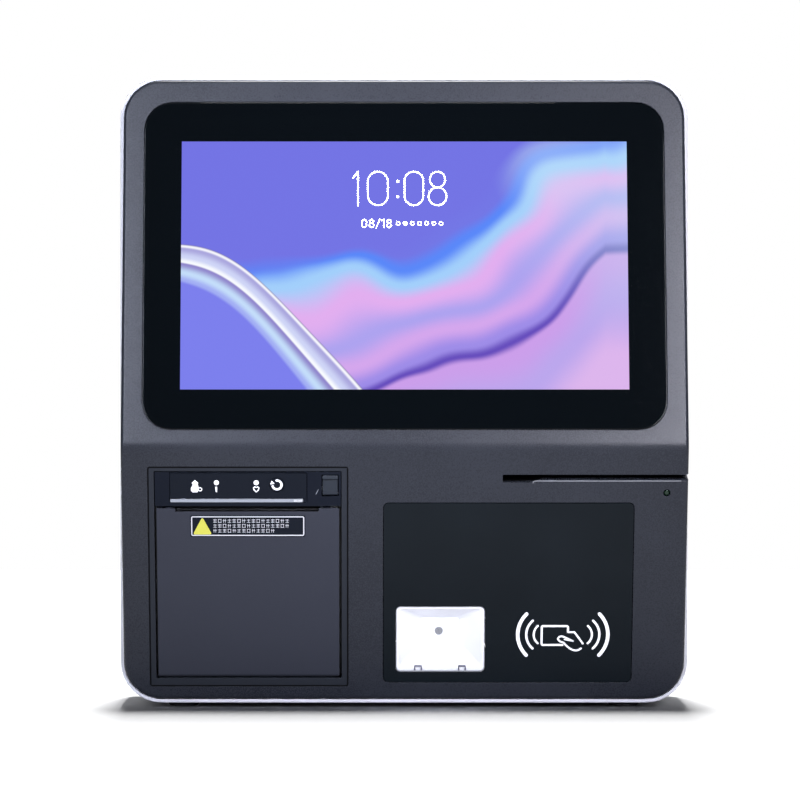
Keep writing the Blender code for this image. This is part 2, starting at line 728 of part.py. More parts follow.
def make_head_cover(lower):
    """The fixed block over the paper slot: hollow, with a recess for the signs and a well for the release."""
    x = widened(BEZEL_MOUTH_X, -0.4)
    wall = 1.6
    head = block("head_cover", "printer_grey", x, HEAD_Y, HEAD_Z, lower)
    hollow_z = (HEAD_Z[0] - PAST, HEAD_Z[1] - wall)
    recess_z = (BAR_Z[0] - GAP, OVERLAY_Z[1] + GAP)
    floor_y = HEAD_Y[0] + 1.0
    through = (-PAST, HEAD_Y[1] + PAST)
    cut(
        head,
        block("head_hollow", "clear", widened(x, -wall), (floor_y + 1.0, through[1]), hollow_z, lower),
        block("overlay_recess", "clear", widened(OVERLAY_X, GAP), (-PAST, floor_y), recess_z, lower),
        block("release_well", "clear", *release_well(), lower),
        cylinder("key_hole", "clear", FEED_KEY_R + 0.7, through, FEED_KEY, "Y", 16, lower),
    )
    film = (floor_y - 1.05, floor_y - GAP)
    keypad = block("keypad_overlay", "overlay", OVERLAY_X, film, OVERLAY_Z, lower)
    cut(keypad, cylinder("key_opening", "clear", FEED_KEY_R + 0.3, through, FEED_KEY, "Y", 20, lower))
    bar_centre = (middle(BAR_X), floor_y - 0.95, middle(BAR_Z))
    bar_y = (floor_y - 1.6, floor_y - GAP)
    prism("tear_bar", "aluminium", rounded(BAR_X, BAR_Z, 0.5, 2), bar_y, "Y", lower, bar_centre)
    r = FEED_KEY_R
    profile = [(0, 0.2), (r - 0.4, 0.2), (r, 0.5), (r, 1.2), (r + 0.5, 1.2), (r + 0.5, 2.2), (0, 2.2)]
    turned("feed_button", "overlay", profile, (FEED_KEY[0], 0.15, FEED_KEY[1]), "Y", 20, lower)


def release_well():
    """The three spans of the hole that the release button sits in."""
    return widened(RELEASE_X, RELEASE_GAP), (-PAST, HEAD_Y[1] + PAST), widened(RELEASE_Z, RELEASE_GAP)


def make_release(lower):
    """The push button that opens the door, and the latch hook that its stem turns."""
    low, high = RELEASE_Z
    lip = high - 2.9
    face = [(2.6, low), (2.6, lip), (1.0, lip + 0.6), (1.0, high - 0.6), (1.4, high), (5.6, high), (5.6, low)]
    centre = (middle(RELEASE_X), 3, middle(RELEASE_Z))
    button = prism("release_button", "printer_grey", face, RELEASE_X, "X", lower, centre)
    stem_x = (LATCH_X[0] + 0.4, LATCH_X[1] + 1.9)
    join(button, block("release_stem", "printer_grey", stem_x, (5.2, 23.4), (-24.0, -20.6), lower))
    # From the hook's tip back along its top to the pivot, up the tail and back down to the tip.
    arm = [(5.6, -38.6), (7.6, -38.6), (7.6, -36.4), (25.0, -36.2), (29.6, -33.0), (28.6, -19.6), (23.8, -19.6)]
    arm += [(24.4, -31.0), (9.0, -33.4), (5.6, -35.2)]
    hook = prism("latch_hook", "steel", arm, LATCH_X, "X", lower, (middle(LATCH_X), *LATCH_PIVOT))
    bore = widened(LATCH_X, PAST)
    cut(hook, cylinder("latch_bore", "clear", LATCH_PIN_R + 0.1, bore, LATCH_PIVOT, "X", 12, lower))
    pin = (LATCH_X[0] - 2.3, BUCKET_X[1] - BUCKET_WALL - GAP)
    cylinder("latch_pin", "steel", LATCH_PIN_R, pin, LATCH_PIVOT, "X", 12, lower)


def make_door(lower):
    """The printer door: a plate with a barrel along its foot, and the two arms that carry the platen."""
    front = DOOR_FRONT_Y
    inner = DOOR_INNER_Y
    outline = [(front, DOOR_TOP), (front, DOOR_AXIS_Z)]
    for step in range(1, 9):
        turn = math.pi * step / 8
        outline.append((DOOR_AXIS_Y - HINGE_R * math.cos(turn), DOOR_AXIS_Z - HINGE_R * math.sin(turn)))
    outline += [(DOOR_AXIS_Y + HINGE_R, DOOR_AXIS_Z + 1.5), (inner, DOOR_AXIS_Z + 4), (inner, DOOR_TOP)]
    place = (middle(DOOR_X), DOOR_AXIS_Y, DOOR_AXIS_Z)
    door = prism("printer_door", "printer_grey", outline, DOOR_X, "X", lower, place, math.radians(35))
    root = inner - 0.4
    arm = [(root, -62), (5, -62), (14.4, -46.5), (14.4, -37.2), (9, -37.2), (root, -40)]
    for side, span in (("left", (-136.4, -134.4)), ("right", (-45.4, -43.4))):
        join(door, prism(f"door_arm_{side}", "printer_grey", arm, span, "X", lower))
    rib = ((DOOR_X[0] + 3, DOOR_X[1] - 3), (root, inner + 2.0), (-122, -120))
    join(door, block("door_rib", "printer_grey", *rib, lower))
    notch = (SLOT_X, (-PAST, inner + PAST), (DOOR_TOP - SLOT_DROP, DOOR_TOP + PAST))
    axis = (DOOR_AXIS_Y, DOOR_AXIS_Z)
    platen = (PLATEN_Y, PLATEN_Z)
    across = widened(DOOR_X, PAST)
    cut(
        door,
        block("slot_notch", "clear", *notch, lower),
        cylinder("hinge_bore", "clear", PIN_R + 0.12, across, axis, "X", 12, lower),
        cylinder("platen_bore", "clear", PLATEN_SHAFT_R + 0.12, across, platen, "X", 16, lower),
    )


def make_cutter(lower):
    """The fixed blade on the door, and the blade that slides past it with its motor."""
    fixed = (DOOR_INNER_Y + GAP, DOOR_INNER_Y + 0.8)
    block("fixed_blade", "steel", BLADE_X, fixed, (-45.2, -38.2), lower)
    moving = (fixed[1] + 0.4, fixed[1] + 1.1)
    block("cutter_blade", "steel", BLADE_X, moving, (-34.2, -20.4), lower)
    profile = [(0, -128), (7, -128), (7, -108), (2.5, -108), (2.5, -104), (0, -104)]
    turned("cutter_motor", "steel", profile, (0, 14.4, -23.6), "X", 16, lower)


def make_platen(lower):
    place = (0, PLATEN_Y, PLATEN_Z)
    bore = PLATEN_SHAFT_R + GAP
    left, right = widened(SLOT_X, -0.4)
    roller = [(bore, left), (PLATEN_R, left), (PLATEN_R, right), (bore, right)]
    turned("platen_roller", "rubber", roller, place, "X", 24, lower, True)
    shaft = (DOOR_X[0] + 3.5, GEAR_X[1] + 0.4)
    cylinder("platen_shaft", "steel", PLATEN_SHAFT_R, shaft, place[1:], "X", 16, lower)
    gear("platen_gear", "gear_white", PLATEN_TEETH, place, PLATEN_SHAFT_R + GAP, 0.0, lower)


def gear(name, colour, teeth, place, bore, turn, parent):
    """A spur gear about X: straight-sided teeth, narrower than half a pitch so that they run free."""
    pitch_r = GEAR_MODULE * teeth / 2
    marks = ((-0.30, -1.15), (-0.14, 0.85), (0.14, 0.85), (0.30, -1.15))
    step = 2 * math.pi / teeth
    outer = []
    inner = []
    for tooth in range(teeth):
        for share, rise in marks:
            angle = step * (tooth + share) + turn
            radius = pitch_r + rise * GEAR_MODULE
            outer.append((radius * math.cos(angle), radius * math.sin(angle)))
            inner.append((bore * math.cos(angle), bore * math.sin(angle)))
    made = hollow_prism(name, colour, outer, inner, GEAR_X, "X", parent)
    made.location = Vector(place) * MM
    return made


def make_drive(lower):
    """The stepper motor and the small gear on its shaft, straight behind the platen's gear."""
    place = (0, PLATEN_Y + GEAR_DISTANCE, PLATEN_Z)
    facing = math.pi + math.pi / DRIVE_TEETH
    gear("drive_gear", "brass", DRIVE_TEETH, place, MOTOR_SHAFT_R + GAP, facing, lower)
    front, back = MOTOR_X
    end = GEAR_X[0] + 0.4
    profile = [(0, end), (MOTOR_SHAFT_R, end), (MOTOR_SHAFT_R, front), (MOTOR_R, front)]
    profile += [(MOTOR_R, back - 1), (MOTOR_R - 1, back), (0, back)]
    turned("drive_motor", "steel", profile, place, "X", 24, lower)


def make_print_head(lower):
    """The print head's board, pressed to the platen, with a finned aluminium back."""
    front = PRINT_HEAD_Y
    block("print_head", "board_green", BLADE_X, (front, front + SHEET), PRINT_HEAD_Z, lower)
    face, root, tip = HEAD_SINK_Y
    low, high = HEAD_SINK_Z
    pitch = (high - low - 5) / (HEAD_SINK_FINS - 1)
    outline = [(face, low), (face, high)]
    for fin in range(HEAD_SINK_FINS):
        top = high - fin * pitch
        foot = top - pitch / 2 if fin < HEAD_SINK_FINS - 1 else low
        outline += [(tip, top), (tip, foot)]
        if fin < HEAD_SINK_FINS - 1:
            outline += [(root, foot), (root, top - pitch)]
    prism("head_heat_sink", "aluminium", outline, HEAD_SINK_X, "X", lower)


def make_paper_roll(lower):
    """The roll of paper on its card core, free in the bay."""
    place = (0, ROLL_Y, ROLL_Z)
    left, right = ROLL_X
    for name, colour, bore, radius, sides in (
        ("roll_core", "card", ROLL_CORE_R - 1.5, ROLL_CORE_R, 24),
        ("paper_roll", "paper", ROLL_CORE_R + GAP, ROLL_R, 32),
    ):
        profile = [(bore, left), (radius, left), (radius, right), (bore, right)]
        turned(name, colour, profile, place, "X", sides, lower, True)


def make_printer_board(lower):
    depth = (PRINTER_BOARD_Y, PRINTER_BOARD_Y + BOARD_THICK)
    block("printer_board", "board_green", PRINTER_BOARD_X, depth, PRINTER_BOARD_Z, lower)


def make_reader(lower):
    """The gloss panel with the scanner's pane, and what looks out through it."""
    outer = rounded(WINDOW_X, WINDOW_Z, WINDOW_RADIUS)
    hole = rounded(SCAN_X, SCAN_Z, SCAN_RADIUS)
    hollow_prism("reader_window", "black_gloss", outer, hole, (0, WINDOW_THICK), "Y", lower)
    pane = rounded(widened(SCAN_X, -GAP), widened(SCAN_Z, -GAP), SCAN_RADIUS - GAP)
    centre = (middle(SCAN_X), middle(SCAN_Z))
    prism("scan_window", "clear", pane, (0.3, 1.5), "Y", lower, (centre[0], 0.9, centre[1]))
    make_scan_hood(lower, centre)
    engine_y = (SCAN_DEPTH + 2.1, SCAN_DEPTH + 14)
    engine = block("scan_engine", "black_plastic", (9.5, 32.4), engine_y, (-121, -105), lower)
    foot_y = (engine_y[1] - 2, engine_y[1])
    join(engine, block("engine_foot", "black_plastic", (4, 38), foot_y, (-124, -120.5), lower))
    lens = [(0, -0.6), (1.5, -0.6), (2.1, -0.1), (2.1, 1.8), (0, 1.8)]
    turned("scan_lens", "black_gloss", lens, (LENS[0], SCAN_DEPTH, LENS[1]), "Y", 16, lower)
    antenna_y = (ANTENNA_Y, ANTENNA_Y + SHEET)
    block("nfc_antenna", "board_green", ANTENNA_X, antenna_y, ANTENNA_Z, lower)


def make_scan_hood(lower, centre):
    """A white box that tapers from the scan window to the lens, open at its mouth."""
    rings = []
    mouth = 1.9
    back = SCAN_DEPTH + 1.7
    outer_back = (9.5, 7.5, back)
    outer_mouth = (25.2, 19.1, mouth)
    inner_mouth = (24.0, 17.9, mouth)
    inner_back = (11.5, 8.5, SCAN_DEPTH)
    for half_x, half_z, depth in (outer_back, outer_mouth, inner_mouth, inner_back):
        x = widened((centre[0], centre[0]), half_x)
        z = widened((centre[1], centre[1]), half_z)
        outline = rounded(x, z, 2.2, 3)
        rings.append([(a, depth, b) for a, b in outline])
    count = len(rings[0])
    points = [point for ring in rings for point in ring]
    faces = [tuple(range(count)), tuple(range(3 * count, 4 * count))]
    for row in range(3):
        here = row * count
        for i in range(count):
            j = (i + 1) % count
            faces.append((here + i, here + j, here + count + j, here + count + i))
    hood = add_object("scan_hood", points, faces, "white_plastic", (0, 0, 0), lower)
    hole = (SCAN_DEPTH - PAST, back + PAST)
    cut(hood, cylinder("lens_hole", "clear", 2.5, hole, LENS, "Y", 16, lower))


def make_card_reader(lower):
    """The channel behind the swipe slot, with its reading head, and the light pipe beside it."""
    channel = block("card_channel", "black_plastic", (52, 158.6), (4.6, 21.6), (-23.6, -12.6), lower)
    slot = prism("channel_slot", "clear", card_slot_outline(), (-PAST, CARD_SLOT_DEPTH), "Y", lower)
    pocket_x = widened(CARD_HEAD_X, 0.6)
    pocket = block("head_pocket", "clear", pocket_x, widened(CARD_HEAD_Y, 0.6), (-30, -17.4), lower)
    cut(channel, slot, pocket)
    left, right = CARD_HEAD_X
    head = [(left, -27), (right, -27), (right, -18.2), (right - 3.4, -17.6), (left + 3.4, -17.6), (left, -18.2)]
    centre = (middle(CARD_HEAD_X), middle(CARD_HEAD_Y), -22)
    prism("card_head", "steel", head, CARD_HEAD_Y, "Y", lower, centre)
    light = [(0, 0.7), (1.1, 0.8), (1.6, 1.3), (1.6, 11), (0, 11)]
    turned("status_led", "led_green", light, (LED_X, 0, LED_Z), "Y", 16, lower)


def open_box(name, x, y, z, wall, back):
    """A steel socket: a box open at its rear face."""
    shell = block(name, "steel", x, y, z)
    inside = (widened(x, -wall), (y[0] + back, y[1] + PAST), widened(z, -wall))
    cut(shell, block(f"{name}_cavity", "clear", *inside))


def make_ports():
    """The plate behind the mouth in the back, with its sockets."""
    plate_y = (INNER_BACK_Y - GAP - 1.0, INNER_BACK_Y - GAP)
    plate = block("io_plate", "steel", widened(IO_MOUTH_X, 3), plate_y, widened(IO_MOUTH_Z, 3))
    port_y = (plate_y[0] - PORT_DEPTH, plate_y[1] + 0.6)
    through = widened(plate_y, PAST)
    sockets = [("lan_port", LAN_X, LAN_Z, 1.2)]
    for index in range(2):
        sockets.append((f"usb_port_{index + 1}", tuple(x + USB_STEP * index for x in USB_X), USB_Z, 0.9))
    for name, x, z, wall in sockets:
        open_box(name, x, port_y, z, wall, 2)
        cut(plate, block(f"{name}_hole", "clear", widened(x, GAP), through, widened(z, GAP)))
    r = INLET_R
    inlet = [(0, -12), (r, -12), (r, 0.6), (r - 2.2, 0.6), (r - 2.2, -9), (0.9, -9), (0.9, -1.5), (0, -1.5)]
    turned("dc_inlet", "black_plastic", inlet, (INLET_X, plate_y[1], PORT_Z), "Y", 16)
    cut(plate, cylinder("inlet_hole", "clear", r + 0.4, through, (INLET_X, PORT_Z), "Y", 16))


def make_power_button():
    r = POWER_BUTTON_R
    cap = [(0, -6.5), (r + 1.6, -6.5), (r + 1.6, -4.5), (r, -4.5), (r, -0.8), (r - 0.6, -0.2), (0, -0.2)]
    turned("power_button", "black_plastic", cap, (POWER_BUTTON_X, BACK_Y, PORT_Z), "Y", 20)


def make_vesa_plate():
    """The threaded plate inside the back, behind the four holes."""
    x = widened((0, 0), VESA_PLATE_HALF)
    y = (INNER_BACK_Y - 2.4, INNER_BACK_Y - GAP)
    z = widened((VESA_Z, VESA_Z), VESA_PLATE_HALF)
    plate = block("vesa_plate", "steel", x, y, z)
    for index, place in enumerate(vesa_places()):
        cut(plate, cylinder(f"vesa_bore_{index}", "clear", 2.0, widened(y, PAST), place, "Y", 10))


def make_power_board():
    transformer = ((70, 92), (58, 80), 16.0)
    inductor = ((98, 112), (60, 74), 12.0)
    capacitors = ((118, 136), (58, 78), 8.0)
    switch_row = ((74, 130), (94, 106), 6.0)
    parts = [transformer, inductor, capacitors, switch_row]
    populated_board("power_board", POWER_BOARD_X, POWER_BOARD_Y, POWER_BOARD_Z, parts, -1)


def make_speakers():
    """A speaker box behind each side's grille, with a round recess for its cone."""
    for side, name in ((-1, "speaker_left"), (1, "speaker_right")):
        x = sorted((side * SPEAKER_X, side * (HALF_WIDTH - SHELL_WALL - 1)))
        box = block(name, "black_plastic", x, SPEAKER_Y, SPEAKER_Z)
        mouth = sorted((side * (SPEAKER_X + 7), side * (HALF_WIDTH + PAST)))
        centre = (middle(SPEAKER_Y), middle(SPEAKER_Z))
        cut(box, cylinder(f"{name}_cone", "clear", SPEAKER_CONE_R, mouth, centre, "X", 20))


def main():
    clear_scene()
    upper = add_frame("upper_panel", -UPPER_TILT)
    lower = add_frame("lower_panel", LOWER_TILT)
    make_front_cover(upper, lower)
    make_rear_shell()
    make_case_screws()
    make_feet()
    make_screen(upper)
    make_boards(upper)
    make_printer_frame(lower)
    make_head_cover(lower)
    make_release(lower)
    make_door(lower)
    make_cutter(lower)
    make_platen(lower)
    make_drive(lower)
    make_print_head(lower)
    make_paper_roll(lower)
    make_printer_board(lower)
    make_reader(lower)
    make_card_reader(lower)
    make_ports()
    make_power_button()
    make_power_board()
    make_vesa_plate()
    make_speakers()


main()
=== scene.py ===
"""Looks for the self checkout kiosk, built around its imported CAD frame.

Both front panels tilt, so a piece on a panel is placed in that panel's own frame, in millimetres: x across,
y behind the panel's face and z up from the ridge. UPPER and LOWER turn those into metres in the model's
frame, and UPRIGHT does the same for pieces that follow the model's own axes.
"""

import json
import math

import bmesh
import bpy
from mathutils import Matrix, Vector

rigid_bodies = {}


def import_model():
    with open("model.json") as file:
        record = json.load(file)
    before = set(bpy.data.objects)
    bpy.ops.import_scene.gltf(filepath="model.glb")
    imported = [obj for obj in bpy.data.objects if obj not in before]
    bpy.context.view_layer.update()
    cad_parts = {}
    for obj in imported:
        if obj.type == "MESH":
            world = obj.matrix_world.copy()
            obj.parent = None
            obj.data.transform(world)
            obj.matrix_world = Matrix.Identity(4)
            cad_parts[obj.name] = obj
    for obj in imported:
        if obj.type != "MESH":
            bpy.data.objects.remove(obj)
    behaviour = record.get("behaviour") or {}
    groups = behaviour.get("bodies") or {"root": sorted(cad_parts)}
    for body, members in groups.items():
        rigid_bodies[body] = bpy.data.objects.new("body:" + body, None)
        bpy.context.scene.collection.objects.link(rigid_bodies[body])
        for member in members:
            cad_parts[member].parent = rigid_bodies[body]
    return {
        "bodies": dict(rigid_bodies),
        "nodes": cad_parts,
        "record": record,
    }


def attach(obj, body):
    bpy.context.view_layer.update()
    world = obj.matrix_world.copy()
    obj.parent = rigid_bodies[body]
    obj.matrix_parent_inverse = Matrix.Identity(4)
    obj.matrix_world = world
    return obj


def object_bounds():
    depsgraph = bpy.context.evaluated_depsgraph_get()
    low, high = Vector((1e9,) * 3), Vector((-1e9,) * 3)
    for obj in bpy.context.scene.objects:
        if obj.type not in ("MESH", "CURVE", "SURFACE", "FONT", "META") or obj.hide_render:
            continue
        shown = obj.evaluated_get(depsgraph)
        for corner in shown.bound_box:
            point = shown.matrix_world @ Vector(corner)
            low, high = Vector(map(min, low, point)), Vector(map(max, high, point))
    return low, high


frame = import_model()
CAD_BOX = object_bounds()
NODES = frame["nodes"]

MM = 0.001
UPRIGHT = Matrix.Scale(MM, 4)

# Camera: level, a little left of the middle, with its picture shifted to centre the kiosk.
CAMERA_PLACE = (-0.0266, -1.9177, 0.17757)
CAMERA_LENS = 147.6
CAMERA_SHIFT = 0.0525

# The lit part of the screen, and what it shows.
DISPLAY_X = (-128.0, 128.0)
DISPLAY_Z = (33.4, 177.6)
CLOCK_Z = (139.8, 160.3)
DATE_Z = (127.0, 132.2)

# The paper slot's span, and how far it cuts into the door's top edge.
SLOT_X = (-130.7, -49.2)
SLOT_DROP = 1.8

# The painted highlight along the lower lip of the card slot, on the lower panel.
CARD_HIGHLIGHT_X = (73.0, 157.3)
CARD_HIGHLIGHT_Z = -19.5

# Prints are this thick and stand this far off what they are printed on.
INK = 0.06
INK_LIFT = 0.02

# Edges that turn by more than this, in degrees, are shaded sharp or rounded.
SHARP = 35


# --- Places ---


def front_plane(node):
    """A corner and the outward direction of a node's largest flat face towards the front."""
    mesh = NODES[node].data
    found = {}
    for face in mesh.polygons:
        if face.normal.y < -0.5:
            key = tuple(round(value, 2) for value in face.normal)
            corner, total = found.get(key, (mesh.vertices[face.vertices[0]].co.copy(), Vector()))
            found[key] = (corner, total + face.normal * face.area)
    corner, total = max(found.values(), key=lambda pair: pair[1].length)
    return corner, total.normalized()


def panel_frame(outward, ridge):
    """The matrix from a panel's own millimetres to metres."""
    across = Vector((1, 0, 0))
    inward = -outward
    up = across.cross(inward)
    turn = Matrix((across, inward, up)).transposed().to_4x4()
    return Matrix.Translation(ridge) @ turn @ UPRIGHT


def panel_frames():
    """The frames of both panels, whose faces meet in the ridge."""
    upper_point, upper_out = front_plane("touch_glass")
    lower_point, lower_out = front_plane("reader_window")
    sides = Matrix(((upper_out.y, upper_out.z), (lower_out.y, lower_out.z)))
    y, z = sides.inverted() @ Vector((upper_out.dot(upper_point), lower_out.dot(lower_point)))
    ridge = Vector((0, y, z))
    return panel_frame(upper_out, ridge), panel_frame(lower_out, ridge)


UPPER, LOWER = panel_frames()


def box_in(node, place):
    """A node's spans (x, y, z) in a frame's own millimetres."""
    back = place.inverted()
    points = [back @ vertex.co for vertex in NODES[node].data.vertices]
    return [(min(values), max(values)) for values in zip(*points)]


def middle(span):
    return (span[0] + span[1]) / 2


def ink_before(y):
    """The span of a print on a front face, from the y span of the piece that it is on."""
    return (y[0] - INK_LIFT - INK, y[0] - INK_LIFT)


# --- Shapes ---

CORNER_STEPS = 5


def along(axis, a, b, c):
    """A point at c along an axis, with a and b across it in X, Y, Z order."""
    return {"X": (c, a, b), "Y": (a, c, b), "Z": (a, b, c)}[axis]


def moved(points, centre):
    """Points that are given from a centre."""
    return [(centre[0] + a, centre[1] + b) for a, b in points]


def ellipse(centre, half, sides=32):
    angles = [2 * math.pi * i / sides for i in range(sides)]
    return moved([(half[0] * math.cos(a), half[1] * math.sin(a)) for a in angles], centre)


def circle(centre, radius, sides=24):
    return ellipse(centre, (radius, radius), sides)


def arc(centre, radius, start, end, steps=16):
    """Points along an arc, from one angle to another in degrees."""
    angles = [math.radians(start + (end - start) * i / steps) for i in range(steps + 1)]
    return moved([(radius * math.cos(a), radius * math.sin(a)) for a in angles], centre)


def rounded(x, z, radius, steps=CORNER_STEPS):
    """The outline of a rectangle with round corners, anticlockwise from the upper right one."""
    left, right = x[0] + radius, x[1] - radius
    low, high = z[0] + radius, z[1] - radius
    outline = []
    for quarter, corner in enumerate(((right, high), (left, high), (left, low), (right, low))):
        outline += arc(corner, radius, 90 * quarter, 90 * quarter + 90, steps)
    return outline


def smoothed(points, steps=6):
    """A smooth open path through points, by Catmull-Rom."""
    ends = [points[0], *points, points[-1]]
    path = []
    for a, b, c, d in zip(ends, ends[1:], ends[2:], ends[3:]):
        for step in range(steps):
            t = step / steps
            weights = (-t + 2 * t**2 - t**3, 2 - 5 * t**2 + 3 * t**3, t + 4 * t**2 - 3 * t**3, t**3 - t**2)
            path.append(tuple(sum(w * p[i] for w, p in zip(weights, (a, b, c, d))) / 2 for i in (0, 1)))
    return path + [points[-1]]


class Shape:
    """Points and faces of one mesh, gathered from simple closed solids."""

    def __init__(self):
        self.points = []
        self.faces = []

    def skin(self, rings, cap=True):
        """A tube through rings with as many points each, closed at both ends, or end to end without caps."""
        first = len(self.points)
        count = len(rings[0])
        for ring in rings:
            self.points += ring
        rows = len(rings) - 1 if cap else len(rings)
        for row in range(rows):
            here = first + row * count
            there = first + (row + 1) % len(rings) * count
            for i in range(count):
                j = (i + 1) % count
                self.faces.append((here + i, here + j, there + j, there + i))
        if cap:
            last = first + (len(rings) - 1) * count
            self.faces.append(tuple(range(first, first + count)))
            self.faces.append(tuple(range(last + count - 1, last - 1, -1)))
        return self

    def slab(self, outline, span, axis="Y"):
        """An outline across an axis, extruded along it over a span."""
        return self.skin([[along(axis, a, b, c) for a, b in outline] for c in span])

    def box(self, x, y, z):
        return self.slab([(x[0], y[0]), (x[1], y[0]), (x[1], y[1]), (x[0], y[1])], z, "Z")

    def turned(self, profile, at, axis, sides=24, closed=False):
        """A profile of (radius, distance) turned about an axis through at; closed joins its two ends."""
        rings = []
        for radius, distance in profile:
            ring = circle((0, 0), max(radius, 1e-4), sides)
            rings.append([tuple(Vector(at) + Vector(along(axis, a, b, distance))) for a, b in ring])
        return self.skin(rings, cap=not closed)

    def stroke(self, path, width, span, closed=False, axis="Y"):
        """A flat line of one width along a path, with round ends unless it is closed."""
        half = width / 2
        left, right = [], []
        count = len(path)
        for i, point in enumerate(path):
            before = path[i - 1] if i or closed else point
            after = path[(i + 1) % count] if i < count - 1 or closed else point
            ahead = (Vector(after) - Vector(before)).normalized()
            side = Vector((-ahead.y, ahead.x)) * half
            left.append(Vector(point) + side)
            right.append(Vector(point) - side)
        if closed:
            low, high = span
            rings = [
                [along(axis, *edge, at) for edge, at in ((a, low), (b, low), (b, high), (a, high))]
                for a, b in zip(left, right)
            ]
            return self.skin(rings, cap=False)
        outline = left + self.round_end(path[-1], left[-1])
        outline += right[::-1] + self.round_end(path[0], right[0])
        return self.slab([tuple(point) for point in outline], span, axis)

    def round_end(self, centre, start):
        """Points half way round an end of a stroke, clockwise from start."""
        reach = Vector(start) - Vector(centre)
        turns = [-math.pi * step / 6 for step in range(1, 6)]
        return [Vector(centre) + Matrix.Rotation(turn, 2) @ reach for turn in turns]


def add_object(name, data):
    """A new object in the scene."""
    made = bpy.data.objects.new(name, data)
    bpy.context.scene.collection.objects.link(made)
    return made


def closed_mesh(name, shape, place):
    """A mesh of a shape, from a frame's own millimetres, with its faces pointing out."""
    mesh = bpy.data.meshes.new(name)
    mesh.from_pydata([place @ Vector(point) for point in shape.points], [], shape.faces)
    solid = bmesh.new()
    solid.from_mesh(mesh)
    bmesh.ops.recalc_face_normals(solid, faces=solid.faces)
    solid.to_mesh(mesh)
    solid.free()
    return mesh


def add_piece(name, body, look, shape, place, smooth=SHARP):
    """One mesh object of a shape, riding on a body."""
    mesh = closed_mesh(name, shape, place)
    mesh.shade_smooth()
    mesh.set_sharp_from_angle(angle=math.radians(smooth))
    mesh.materials.append(look)
    piece = add_object(name, mesh)
    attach(piece, body)
    return piece


def join_triangles(piece, flatten):
    """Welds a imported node's triangles, and joins those that lie in one plane."""
    weld = piece.modifiers.new("weld", "WELD")
    weld.merge_threshold = 1e-6
    if flatten:
        joined = piece.modifiers.new("flatten", "DECIMATE")
        joined.decimate_type = "DISSOLVE"
        joined.angle_limit = math.radians(0.2)


def soften(piece, width):
    """Rounds a piece's sharp edges by a width in millimetres, and shades its gentle ones smooth."""
    piece.data.shade_smooth()
    bevel = piece.modifiers.new("soften", "BEVEL")
    bevel.width = width * MM
    bevel.segments = 2
    bevel.limit_method = "ANGLE"
    bevel.angle_limit = math.radians(SHARP)
    bevel.use_clamp_overlap = False
    weigh = piece.modifiers.new("weigh", "WEIGHTED_NORMAL")
    weigh.mode = "FACE_AREA"
    weigh.weight = 50
    weigh.keep_sharp = True


# --- Materials ---

# How fast the paper roll's layers follow each other, in radians for each metre of radius.
PAPER_RINGS = 9000.0


class Finish:
    """One material being built: a Principled shader and the textures that feed it."""

    def __init__(self, name, **values):
        self.material = bpy.data.materials.new(name)
        self.material.use_nodes = True
        self.tree = self.material.node_tree
        self.shader = self.tree.nodes["Principled BSDF"]
        self.place = self.node("ShaderNodeTexCoord").outputs["Object"]
        self.set(**values)

    def set(self, **values):
        """Sets the shader's sockets: Base_Color is its Base Color."""
        for name, value in values.items():
            self.put(self.shader.inputs[name.replace("_", " ")], value)

    def put(self, socket, value):
        """Links a socket to another, or gives it a plain value."""
        if isinstance(value, bpy.types.NodeSocket):
            self.tree.links.new(value, socket)
        elif socket.type == "RGBA" and len(value) == 3:
            socket.default_value = (*value, 1.0)
        else:
            socket.default_value = value

    def node(self, kind, inputs=None, **settings):
        made = self.tree.nodes.new(kind)
        for name, value in settings.items():
            setattr(made, name, value)
        for name, value in (inputs or {}).items():
            self.put(made.inputs[name], value)
        return made

    def math(self, operation, first, second=0.0):
        return self.node("ShaderNodeMath", {0: first, 1: second}, operation=operation).outputs[0]

    def vector(self, operation, first, second):
        return self.node("ShaderNodeVectorMath", {0: first, 1: second}, operation=operation).outputs[0]

    def noise(self, size, detail=2.0, stretch=None):
        """Noise whose spots are about one size, in metres; stretch multiplies the three axes first."""
        place = self.vector("MULTIPLY", self.place, stretch) if stretch else self.place
        values = {"Vector": place, "Scale": 1 / size, "Detail": detail}
        return self.node("ShaderNodeTexNoise", values).outputs[0]

    def between(self, value, low, high, spread=(0.3, 0.7)):
        """A texture's value, spread from low to high."""
        values = {0: value, 1: spread[0], 2: spread[1], 3: low, 4: high}
        return self.node("ShaderNodeMapRange", values).outputs[0]

    def mix(self, share, first, second):
        """A colour between two."""
        made = self.node("ShaderNodeMix", data_type="RGBA", clamp_factor=True)
        self.put(made.inputs[0], share)
        self.put(made.inputs[6], first)
        self.put(made.inputs[7], second)
        return made.outputs[2]

    def ramp(self, value, stops):
        """A colour ramp through (position, colour) stops."""
        made = self.node("ShaderNodeValToRGB", {0: value})
        made.color_ramp.interpolation = "EASE"
        while len(made.color_ramp.elements) < len(stops):
            made.color_ramp.elements.new(1.0)
        for element, (position, colour) in zip(made.color_ramp.elements, stops):
            element.position = position
            element.color = (*colour, 1.0)
        return made.outputs[0]

    def bump(self, height, depth, strength=1.0):
        """Feeds the shader's normal with a height that spans a depth, in metres."""
        made = self.node("ShaderNodeBump", {"Height": height, "Distance": depth, "Strength": strength})
        self.set(Normal=made.outputs[0])


def shade(colour, by):
    return tuple(min(1.0, value * by) for value in colour)


